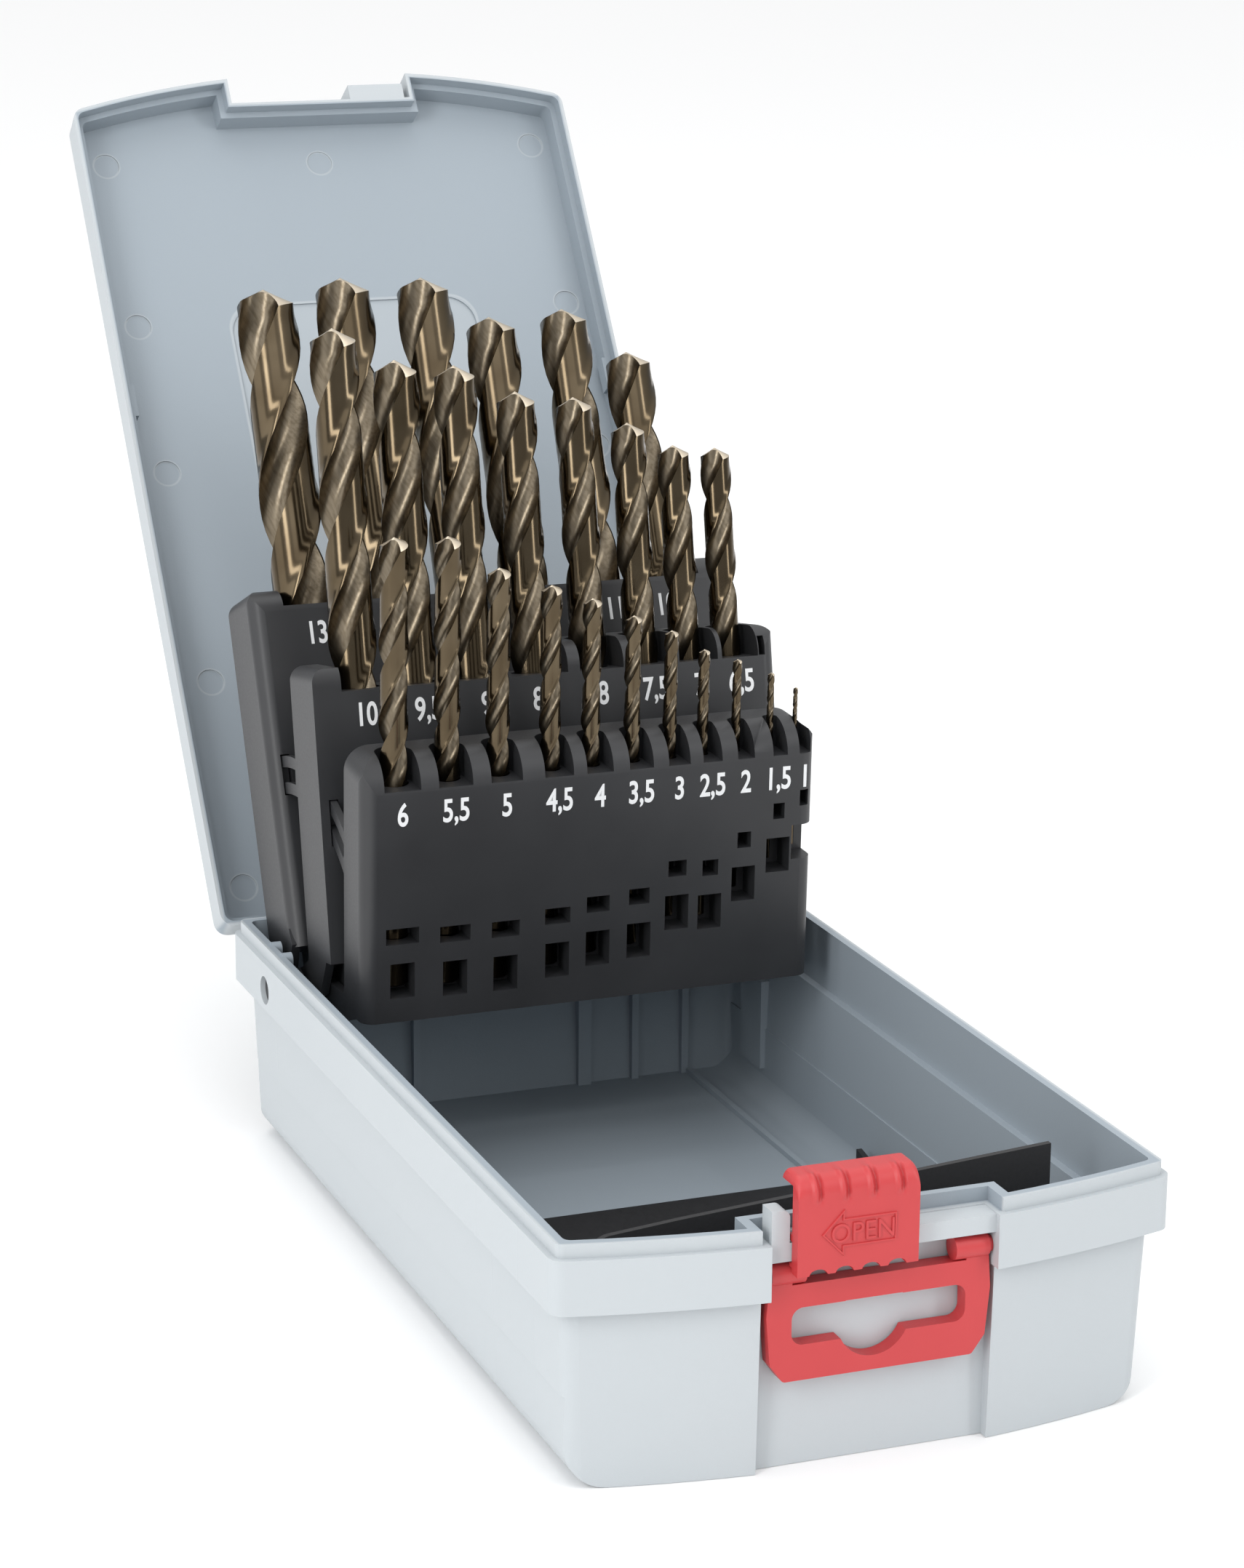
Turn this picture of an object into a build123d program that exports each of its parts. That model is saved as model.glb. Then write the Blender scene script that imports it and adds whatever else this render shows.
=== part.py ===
from build123d import *
import math
import os

os.makedirs("parts", exist_ok=True)

# Frame: X right, Y back, Z up. The origin is on the underside of the tray,
# halfway along it. The case stands open and every rack is raised.

# ---- case outline seen from above --------------------------------------
CASE_HALF_WIDTH = 59.5
REAR_Y = 102.8
BOW_APEX_Y = -102.8
BOW_RISE = 8.0
BOW_RADIUS = (CASE_HALF_WIDTH**2 + BOW_RISE**2) / (2 * BOW_RISE)
BOW_CENTRE_Y = BOW_APEX_Y + BOW_RADIUS
BAND_CORNER_RADIUS = 3.0
INNER_CORNER_RADIUS = 1.6
WALL_CORNER_RADIUS = 3.4
OVERLAP = 1.0
SHORT_OVERLAP = 0.5
SECTION_SPARE = 0.4

# ---- tray ---------------------------------------------------------------
WALL = 2.2
FLOOR = 2.2
WALL_INSET_FOOT = 4.0
WALL_INSET_BAND = 2.8
BAND_BOTTOM_Z = 34.1
BAND_HEIGHT = 10.2
BAND_TOP_Z = BAND_BOTTOM_Z + BAND_HEIGHT
LIP_HEIGHT = 2.6
LIP_TOP_Z = BAND_TOP_Z + LIP_HEIGHT
LIP_INSET = 1.25
LIP_INNER_INSET = 3.2
FOOT_EDGE_RADIUS = 7.0
CUT_OVER = 5.0

NOTCH_HALF_WIDTH = 21.7
NOTCH_DEPTH = 7.2
NOTCH_Y = BOW_APEX_Y + NOTCH_DEPTH
RECESS_SPARE = 0.7
RECESS_HALF_WIDTH = NOTCH_HALF_WIDTH + RECESS_SPARE
LID_NOTCH_STEP = 0.2
LID_NOTCH_Y = NOTCH_Y + LID_NOTCH_STEP
LIP_NOTCH_Y = LID_NOTCH_Y + LIP_INSET
LIP_NOTCH_THICK = 1.65
LIP_NOTCH_INNER_Y = LIP_NOTCH_Y + LIP_NOTCH_THICK
CHEEK = LIP_INNER_INSET
RAIL_DEPTH = 4.8
RAIL_FRONT_Y = NOTCH_Y - RAIL_DEPTH
RAIL_HEIGHT = 3.4
RAIL_DROP = 0.2
RAIL_TOP_Z = BAND_TOP_Z - RAIL_DROP
RAIL_BOTTOM_Z = RAIL_TOP_Z - RAIL_HEIGHT
POST_SIDE_GAP = 0.4
POST_WIDTH = 3.4
POST_LEFT_X = -NOTCH_HALF_WIDTH + POST_SIDE_GAP
POST_RIGHT_X = POST_LEFT_X + POST_WIDTH
POST_BACK_GAP = 0.6
POST_BACK_Y = NOTCH_Y - POST_BACK_GAP
POST_HEIGHT = 9.5
POST_TOP_Z = RAIL_BOTTOM_Z + POST_HEIGHT
POST_ROUND = 1.4

# ribs on the rear wall: place as a share of the half width, and width
RIB_TOP_DROP = 1.0
RIB_TOP_Z = BAND_TOP_Z - RIB_TOP_DROP
RIB_REACH = 7.6
RIB_FACE_Y = REAR_Y - RIB_REACH
RIBS = ((0.3076, 3.0), (0.5084, 1.6), (0.7076, 1.6), (-0.3462, 1.6))
FLOOR_RIB_SHARE = 0.7109
FLOOR_RIB_WIDTH = 1.4
FLOOR_RIB_RISE = 1.1
FLOOR_RIB_REAR_GAP = 8.0
FLOOR_PANEL_SHARE = -0.3193
FLOOR_PANEL_WIDTH = 44.0
FLOOR_PANEL_LENGTH = 24.0
FLOOR_PANEL_RADIUS = 7.0
FLOOR_PANEL_RISE = 0.5
LINER_END_GAP = 0.5
TAB_INNER_GAP = 7.1
TAB_OUTER_GAP = 4.4
TAB_LENGTH = 11.4
TAB_BACK_SHIFT = 1.7
TAB_BOTTOM_Z = 8.0
TAB_HEIGHT = 20.0
FINGER_INNER_GAP = 4.8
FINGER_OFFSET = 3.9
FINGER_HALF = 1.4
FINGER_RISE = 1.7
FINGER_TOP_Z = BAND_TOP_Z + FINGER_RISE

# ---- hinge of the lid ---------------------------------------------------
HINGE_BACK = 3.28
HINGE_DROP = 2.54
HINGE_Y = REAR_Y + HINGE_BACK
HINGE_Z = BAND_TOP_Z - HINGE_DROP
LID_OPEN_DEG = 125.0
KNUCKLE_RADIUS = 3.0
HINGE_PIN_RADIUS = 1.2
HINGE_SIDE_GAP = 23.5
HINGE_CENTRE_X = CASE_HALF_WIDTH - HINGE_SIDE_GAP
LID_KNUCKLE_LENGTH = 12.0
BASE_KNUCKLE_LENGTH = 8.0
KNUCKLE_GAP = 0.35
BASE_WEB_RISE = 1.54
BASE_WEB_FOOT_RISE = 0.6
BASE_WEB_TAIL = (1.9, -2.2)
BASE_WEB_TOP_Z = HINGE_Z + BASE_WEB_RISE
PIN_CHAMFER = 0.3
PIN_SEAT_CLEARANCE = 0.02
RUNNING_CLEARANCE = 0.07

# ---- lid, drawn closed --------------------------------------------------
LID_PARTING = 0.2
LID_STEP = 2.8
LID_DEPTH = 8.0
LID_PANEL = 2.0
LID_RIM_Z = BAND_TOP_Z + LID_PARTING
LID_STEP_Z = LID_RIM_Z + LID_STEP
LID_INNER_Z = LID_RIM_Z + LID_DEPTH
LID_TOP_Z = LID_INNER_Z + LID_PANEL
LID_TOP_INSET = 0.4
LID_EDGE_RADIUS = 2.4
SKIRT = 1.0
LID_WALL = 2.4
KEEPER_LEFT_X = 7.1
KEEPER_WIDTH = 13.3
KEEPER_RIGHT_X = KEEPER_LEFT_X + KEEPER_WIDTH
KEEPER_DEPTH = 3.7
KEEPER_FRONT_Y = LID_NOTCH_Y - KEEPER_DEPTH
KEEPER_RIM_GAP = 0.1
KEEPER_TOP_GAP = 0.2
KEEPER_BOTTOM_Z = LID_RIM_Z + KEEPER_RIM_GAP
KEEPER_TOP_Z = LID_TOP_Z - KEEPER_TOP_GAP
KEEPER_ROUND = 1.2
LABEL_SIDE_GAP = 30.0
LABEL_HALF_WIDTH = CASE_HALF_WIDTH - LABEL_SIDE_GAP
LABEL_REAR_GAP = 40.8
LABEL_LENGTH = 109.2
LABEL_REAR_Y = REAR_Y - LABEL_REAR_GAP
LABEL_FRONT_Y = LABEL_REAR_Y - LABEL_LENGTH
LABEL_DEPTH = 0.4
LABEL_CORNER_RADIUS = 7.0
EJECTOR_RADIUS = 3.0
EJECTOR_DEPTH = 0.25
# places of the marks, as shares of the half width and of the length to the rear
EJECTOR_SPOTS = (
    (-0.8706, -0.822),
    (-0.0134, -0.8093),
    (0.879, -0.8337),
    (-0.8622, -0.4232),
    (0.8857, -0.428),
    (-0.8555, -0.0681),
    (0.8857, -0.0681),
    (-0.837, 0.4261),
    (0.8739, 0.4261),
    (-0.8571, 0.895),
)
HOOK_FRONT_SHARE = -0.2607
HOOK_LENGTH = 7.6
HOOK_REACH = 0.8
HOOK_HEIGHT = 3.6
LID_WEB_FRONT = 0.4
LID_WEB_BACK = 2.9
LID_WEB_TOP = (-0.6, 1.2)
LID_WEB_ROOT_RISE = 2.4
LID_WEB_INNER = 0.6

# ---- latch slider -------------------------------------------------------
LATCH_SIDE_GAP = 0.3
LATCH_LEFT_X = POST_RIGHT_X + LATCH_SIDE_GAP
LATCH_WIDTH = 23.0
LATCH_RAIL_GAP = 0.3
LATCH_PLATE = 2.5
LATCH_BACK_Y = RAIL_FRONT_Y - LATCH_RAIL_GAP
LATCH_FRONT_Y = LATCH_BACK_Y - LATCH_PLATE
LATCH_SKIRT = 2.9
LATCH_BOTTOM_Z = RAIL_BOTTOM_Z - LATCH_SKIRT
JAW_LID_GAP = 0.2
JAW_THICK = 3.0
JAW_UNDERSIDE_Z = LID_TOP_Z + JAW_LID_GAP
LATCH_TOP_Z = JAW_UNDERSIDE_Z + JAW_THICK
JAW_LENGTH = 4.5
JAW_BACK_Y = LATCH_BACK_Y + JAW_LENGTH
JAW_ROUND = 2.6
LATCH_CORNER_RADIUS = 1.0
GUIDE_DEPTH = 1.3
GUIDE_BACK_Y = LATCH_BACK_Y + GUIDE_DEPTH
GUIDE_THICK = 1.3
GUIDE_GAP = 0.3
CLAW_DEPTH = 1.0
CLAW_BACK_Y = LATCH_BACK_Y + CLAW_DEPTH
CLAW_THICK = 0.8
SCALLOP_RADIUS = 1.5
SCALLOP_DROP = 0.7
SCALLOP_COUNT = 4
GRIP_COUNT = 4
GRIP_PITCH = 5.0
GRIP_RADIUS = 0.55
GRIP_HALF_LENGTH = 2.0
GRIP_DROP = 3.2
GRIP_DEPTH = 0.5
GRIP_SLANT_DEG = 62.0

# ---- hanging handle -----------------------------------------------------
HANDLE_BACK_GAP = 0.4
HANDLE_THICK = 3.2
HANDLE_BACK_Y = NOTCH_Y - HANDLE_BACK_GAP
HANDLE_FRONT_Y = HANDLE_BACK_Y - HANDLE_THICK
HANDLE_PIVOT_STEP = 2.0
HANDLE_PIVOT_Y = HANDLE_BACK_Y - HANDLE_PIVOT_STEP
HANDLE_PIVOT_Z = LATCH_BOTTOM_Z
HANDLE_BOSS_RADIUS = 2.2
HANDLE_SIDE_GAP = 0.8
HANDLE_TOP_HALF = NOTCH_HALF_WIDTH - HANDLE_SIDE_GAP
HANDLE_BOSS_LENGTH = 6.6
HANDLE_ARM_WIDTH = 4.2
HANDLE_BOSS_INNER_X = HANDLE_TOP_HALF - HANDLE_BOSS_LENGTH
HANDLE_ARM_INNER_X = HANDLE_TOP_HALF - HANDLE_ARM_WIDTH
HANDLE_MID_FLARE = 0.6
HANDLE_LOW_TAPER = 0.2
HANDLE_FOOT_TAPER = 2.7
HANDLE_MID_HALF = HANDLE_TOP_HALF + HANDLE_MID_FLARE
HANDLE_LOW_HALF = HANDLE_TOP_HALF - HANDLE_LOW_TAPER
HANDLE_FOOT_HALF = HANDLE_TOP_HALF - HANDLE_FOOT_TAPER
HANDLE_MID_DROP = 7.8
HANDLE_LOW_DROP = 16.8
HANDLE_FOOT_DROP = 20.3
HANDLE_MID_Z = HANDLE_PIVOT_Z - HANDLE_MID_DROP
HANDLE_LOW_Z = HANDLE_PIVOT_Z - HANDLE_LOW_DROP
HANDLE_FOOT_Z = HANDLE_PIVOT_Z - HANDLE_FOOT_DROP
HANDLE_CORNER_RADIUS = 1.0
HANDLE_PIN_RADIUS = 1.5
HANDLE_PIN_REACH = 2.5
HANDLE_PIN_END_X = NOTCH_HALF_WIDTH + HANDLE_PIN_REACH
HANDLE_PIN_SPARE = 0.25
BAR_DROP = 2.2
BAR_HEIGHT = 4.3
BAR_TOP_Z = HANDLE_PIVOT_Z - BAR_DROP
BAR_BOTTOM_Z = BAR_TOP_Z - BAR_HEIGHT
GRIP_WINDOW_HEIGHT = 7.0
GRIP_WINDOW_TOP_GAP = 0.1
GRIP_WINDOW_TOP_Z = BAR_BOTTOM_Z - GRIP_WINDOW_TOP_GAP
GRIP_WINDOW_BOTTOM_Z = GRIP_WINDOW_TOP_Z - GRIP_WINDOW_HEIGHT
GRIP_WINDOW_ROUND = 2.2
HOOK_DIP_X = -1.0
HOOK_DIP_RADIUS = 6.88
HOOK_DIP_DEPTH = 4.0
HOOK_DIP_BOTTOM_Z = GRIP_WINDOW_BOTTOM_Z - HOOK_DIP_DEPTH

# ---- racks: one common pivot --------------------------------------------
PIVOT_REAR_GAP = 24.3
PIVOT_DROP = 5.9
PIVOT_Y = REAR_Y - PIVOT_REAR_GAP
PIVOT_Z = BAND_TOP_Z - PIVOT_DROP
PIVOT_PIN_RADIUS = 2.0
PIVOT_PIN_REACH = 12.5
PIVOT_PIN_END_X = CASE_HALF_WIDTH - PIVOT_PIN_REACH
PIVOT_HEAD_RADIUS = 2.7
PIVOT_HEAD_THICK = 0.6
PIVOT_SINK_RADIUS = 3.0
PIVOT_SINK_DEPTH = 1.6
PIVOT_BOSS_RADIUS = 4.0
PIVOT_BOSS_REACH = 5.6
PIVOT_BOSS_END_X = CASE_HALF_WIDTH - PIVOT_BOSS_REACH
EAR_RADIUS = 4.0
EAR_THICK = 1.8
FRONT_LEAN = -1.95
MIDDLE_LEAN = 10.4
REAR_LEAN = 22.5
RACK_SIDE_GAP = 6.0
REAR_STEP_IN = 2.5
MIDDLE_STEP_IN = 2.0
REAR_HALF = CASE_HALF_WIDTH - RACK_SIDE_GAP
MIDDLE_HALF = REAR_HALF - REAR_STEP_IN
FRONT_HALF = MIDDLE_HALF - MIDDLE_STEP_IN
CORE_SIDE_GAP = 12.8
CORE_HALF = CASE_HALF_WIDTH - CORE_SIDE_GAP
RACK_EDGE_RADIUS = 3.0
FRONT_CORNER_RADIUS = 5.0
CHEEK_CORNER_RADIUS = 3.0
FRONT_TOP_ROUND = 7.0
SHELF_TOP_ROUND = 5.0
RACK_FLOOR_GAP = 0.05
BORE_CLEARANCE = 0.1
SLOT_SPARE = 0.85
LINK_THICK = 1.4
LINK_GAP = 0.3
LINK_RIM = 2.4
LINK_SET_IN = 1.6
LINK_SLOT_DEG = (5.0, 3.0)
LINK_SLIT_DEG = (6.0, 1.2)

FRONT_FACE_Y = -34.4
FRONT_THICK = 12.5
FRONT_BACK_Y = FRONT_FACE_Y + FRONT_THICK
FRONT_CENTRE_Y = (FRONT_FACE_Y + FRONT_BACK_Y) / 2
FRONT_BOTTOM = 3.2
FRONT_TOP = 58.5
FRONT_SLOT_DEPTH = 6.5
FRONT_SLOT_FLOOR = FRONT_TOP - FRONT_SLOT_DEPTH
FRONT_LINK_X = FRONT_HALF - LINK_SET_IN
FRONT_LINK_RADII = (37.95, 45.6)
FRONT_LINK_DEG = (-36.0, -13.5)

MIDDLE_FACE_GAP = 0.6
MIDDLE_THICK = 16.0
MIDDLE_FACE_Y = FRONT_BACK_Y + MIDDLE_FACE_GAP
MIDDLE_BACK_Y = MIDDLE_FACE_Y + MIDDLE_THICK
MIDDLE_CENTRE_Y = (MIDDLE_FACE_Y + MIDDLE_BACK_Y) / 2
MIDDLE_BOTTOM = -0.5
MIDDLE_CHEEK_BOTTOM = 7.0
MIDDLE_SHELF = 62.5
MIDDLE_LEFT_RISE = 4.8
MIDDLE_RIGHT_RISE = 6.3
MIDDLE_LEFT_TOP = MIDDLE_SHELF + MIDDLE_LEFT_RISE
MIDDLE_RIGHT_TOP = MIDDLE_SHELF + MIDDLE_RIGHT_RISE
MIDDLE_PILLAR = 6.1
MIDDLE_STEP_SHARE = 0.08235
MIDDLE_LOW_DRILLS = 4
THROUGH_SLOT_GAP = 2.5
THROUGH_SLOT_WIDTH = 1.4
THROUGH_SLOT_RISE = 0.1
THROUGH_SLOT_HEIGHT = 4.0
MIDDLE_LINK_X = MIDDLE_HALF - LINK_SET_IN
MIDDLE_LINK_RADII = (40.35, 48.3)
MIDDLE_LINK_DEG = (-10.0, 10.5)

REAR_FACE_GAP = 0.6
REAR_THICK = 18.0
REAR_FACE_Y = MIDDLE_BACK_Y + REAR_FACE_GAP
REAR_BACK_Y = REAR_FACE_Y + REAR_THICK
REAR_CENTRE_Y = (REAR_FACE_Y + REAR_BACK_Y) / 2
REAR_BOTTOM = -1.5
REAR_CHEEK_BOTTOM = 8.0
REAR_SHELF = 79.7
REAR_PILLAR_RISE = 4.0
REAR_TOP = REAR_SHELF + REAR_PILLAR_RISE
REAR_LEFT_PILLAR = 7.2
REAR_RIGHT_PILLAR = 5.7

# side views of the ears, as distance from the pivot and height above it
FRONT_EAR = ((0, 4), (-21, 5.6), (-24, 12), (-30, 12), (-30, 3.2), (-20, -1), (0, -4))
MIDDLE_EAR = ((0, 4), (-5.3, 6.2), (-5.3, 10), (-18, 10), (-18, 7), (-12, -0.5), (0, -4))
REAR_EAR = ((0, 4), (-4, 8.5), (-3, 12), (11, 12), (11, 8), (0, -4))

UPPER_WINDOW = (10.3, 13.7)
LOWER_WINDOW = (-1.2, 6.2)
UPPER_WINDOW_SPARE = 0.5
LOWER_WINDOW_SHARE = 0.05306

# ---- liner sheet in the front of the tray -------------------------------
SHEET = 1.2
LINER_SIDE_GAP = 11.1
LINER_HALF_WIDTH = CASE_HALF_WIDTH - LINER_SIDE_GAP
LINER_FRONT_GAP = 22.6
LINER_LENGTH = 101.0
LINER_FRONT_Y = BOW_APEX_Y + LINER_FRONT_GAP
LINER_REAR_Y = LINER_FRONT_Y + LINER_LENGTH
LINER_RIGHT_GAP = 5.9
LINER_LEFT_GAP = 1.4
LINER_KINK_GAP = 17.0
LINER_RIGHT_X = LINER_HALF_WIDTH - LINER_RIGHT_GAP
LINER_LEFT_X = LINER_LEFT_GAP - LINER_HALF_WIDTH
LINER_KINK_X = LINER_LEFT_X + LINER_KINK_GAP
LINER_LEFT_TOP_Z = 41.0
LINER_KINK_Z = 42.5
LINER_RIGHT_TOP_Z = 47.5
LINER_CORNER_RADIUS = 4.0
CURL_INNER_X = LINER_HALF_WIDTH + SHEET
CURL_RISE = 0.7
CURL_HEIGHT = 7.1
CURL_BOTTOM_Z = FLOOR + CURL_RISE
CURL_TOP_Z = CURL_BOTTOM_Z + CURL_HEIGHT
CURL_REAR_GAP = 1.5
CURL_LENGTH = 44.3
CURL_REAR_Y = LINER_REAR_Y - CURL_REAR_GAP
CURL_FRONT_Y = CURL_REAR_Y - CURL_LENGTH

# ---- twist drills -------------------------------------------------------
HELIX_PER_DIAMETER = 5.44
FLUTE_OFFSET = 0.95
FLUTE_RADIUS = 0.68
POINT_DEG = 135.0
SHANK_CHAMFER_SHARE = 0.06
DRILL_CLOCK_DEG = 20.0

# diameter, overall length, flute length, place as a share of the half rack, seat height
FRONT_DRILLS = (
    (6.0, 93.0, 57.0, -0.82857, 9.5),
    (5.5, 93.0, 57.0, -0.6, 8.9),
    (5.0, 86.0, 52.0, -0.37959, 8.7),
    (4.5, 80.0, 47.0, -0.15102, 10.3),
    (4.0, 75.0, 43.0, 0.02857, 11.9),
    (3.5, 70.0, 39.0, 0.21224, 12.6),
    (3.0, 61.0, 33.0, 0.38163, 17.8),
    (2.5, 57.0, 30.0, 0.53061, 17.2),
    (2.0, 49.0, 24.0, 0.68163, 22.5),
    (1.5, 40.0, 18.0, 0.83673, 28.0),
    (1.0, 34.0, 12.0, 0.95102, 30.4),
)
MIDDLE_DRILLS = (
    (10.0, 133.0, 87.0, -0.77451, 2.8),
    (9.5, 125.0, 81.0, -0.52353, 3.7),
    (9.0, 125.0, 81.0, -0.27451, 1.9),
    (8.5, 117.0, 75.0, -0.01961, 3.8),
    (8.0, 117.0, 75.0, 0.22941, 1.9),
    (7.5, 109.0, 69.0, 0.45882, 3.9),
    (7.0, 106.6, 69.0, 0.6549, 1.0),
    (6.5, 101.0, 63.0, 0.83922, 5.5),
)
REAR_DRILLS = (
    (13.0, 149.3, 101.0, -0.73645, 0.3),
    (12.5, 151.0, 101.0, -0.40935, 0.3),
    (12.0, 150.2, 101.0, -0.07103, 0.3),
    (11.5, 140.7, 94.0, 0.19813, 0.3),
    (11.0, 141.6, 94.0, 0.51589, 0.3),
    (10.5, 131.2, 87.0, 0.77383, 0.3),
)


# ======== helpers ========================================================
def bow_y(x, inset):
    """Front edge of the outline at one place across the case."""
    radius = BOW_RADIUS - inset
    return BOW_CENTRE_Y - math.sqrt(radius**2 - x**2)


def case_outline(inset, corner):
    """Outline of the case, moved in by inset, with rounded corners."""
    half = CASE_HALF_WIDTH - inset
    rear = REAR_Y - inset
    side_end = bow_y(half, inset)
    with BuildSketch() as outline:
        with BuildLine():
            Polyline((-half, side_end), (-half, rear), (half, rear), (half, side_end))
            ThreePointArc((half, side_end), (0, bow_y(0, inset)), (-half, side_end))
        make_face()
        fillet(outline.vertices(), corner)
    return outline.sketch


def span_box(x_span, y_span, z_span, mode=Mode.ADD):
    """Box between two values on each axis."""
    size = (x_span[1] - x_span[0], y_span[1] - y_span[0], z_span[1] - z_span[0])
    with Locations((x_span[0], y_span[0], z_span[0])):
        Box(*size, align=(Align.MIN, Align.MIN, Align.MIN), mode=mode)


def cross_rod(x_span, y, z, radius, mode=Mode.ADD):
    """Round rod lying across the case."""
    middle = (x_span[0] + x_span[1]) / 2
    with Locations(Location((middle, y, z), (0, 90, 0))):
        Cylinder(radius, x_span[1] - x_span[0], mode=mode)


def share_of(share, size):
    """Part of a size, to a hundredth of a millimetre."""
    return round(share * size, 2)


def placed(drills, half):
    """Drill table with the shares across the rack turned into places."""
    return [(row[0], row[1], row[2], share_of(row[3], half), row[4]) for row in drills]


def side_span(side, inner, outer):
    """The same span of x on the left (-1) or the right (1)."""
    return sorted((side * inner, side * outer))


# ======== tray ===========================================================
inner_foot_inset = WALL_INSET_FOOT + WALL
inner_band_inset = WALL_INSET_BAND + WALL
recess_inner_y = NOTCH_Y + WALL
recess_inner_half = RECESS_HALF_WIDTH + WALL
notch_inner_half = NOTCH_HALF_WIDTH + CHEEK
lip_notch_half = NOTCH_HALF_WIDTH + LIP_INSET
far_front_y = BOW_APEX_Y - CUT_OVER

with BuildPart() as tray_hollow:
    with BuildSketch(Plane.XY.offset(FLOOR)):
        add(case_outline(inner_foot_inset, INNER_CORNER_RADIUS))
    with BuildSketch(Plane.XY.offset(BAND_BOTTOM_Z)):
        add(case_outline(inner_band_inset, INNER_CORNER_RADIUS))
    loft()
    with BuildSketch(Plane.XZ) as hollow_section:
        with Locations((0, FLOOR)):
            Rectangle(
                2 * (CASE_HALF_WIDTH - inner_foot_inset) + SECTION_SPARE,
                2 * BAND_TOP_Z,
                align=(Align.CENTER, Align.MIN),
            )
        low_corners = hollow_section.vertices().group_by(Axis.Y)[0]
        fillet(low_corners, FOOT_EDGE_RADIUS - WALL)
        with Locations((0, BAND_BOTTOM_Z / 2)):
            Rectangle(2 * CASE_HALF_WIDTH, 2 * BAND_TOP_Z, align=(Align.CENTER, Align.MIN))
    extrude(amount=2 * REAR_Y, both=True, mode=Mode.INTERSECT)
    span_box(
        (-recess_inner_half, recess_inner_half),
        (far_front_y, recess_inner_y),
        (0, BAND_BOTTOM_Z),
        Mode.SUBTRACT,
    )

with BuildPart() as band_hollow:
    with BuildSketch(Plane.XY.offset(BAND_BOTTOM_Z)):
        add(case_outline(LIP_INNER_INSET, INNER_CORNER_RADIUS))
    extrude(amount=LIP_TOP_Z + CUT_OVER - BAND_BOTTOM_Z)
    span_box(
        (-notch_inner_half, notch_inner_half),
        (far_front_y, LIP_NOTCH_INNER_Y),
        (BAND_BOTTOM_Z, LIP_TOP_Z + CUT_OVER),
        Mode.SUBTRACT,
    )

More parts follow.
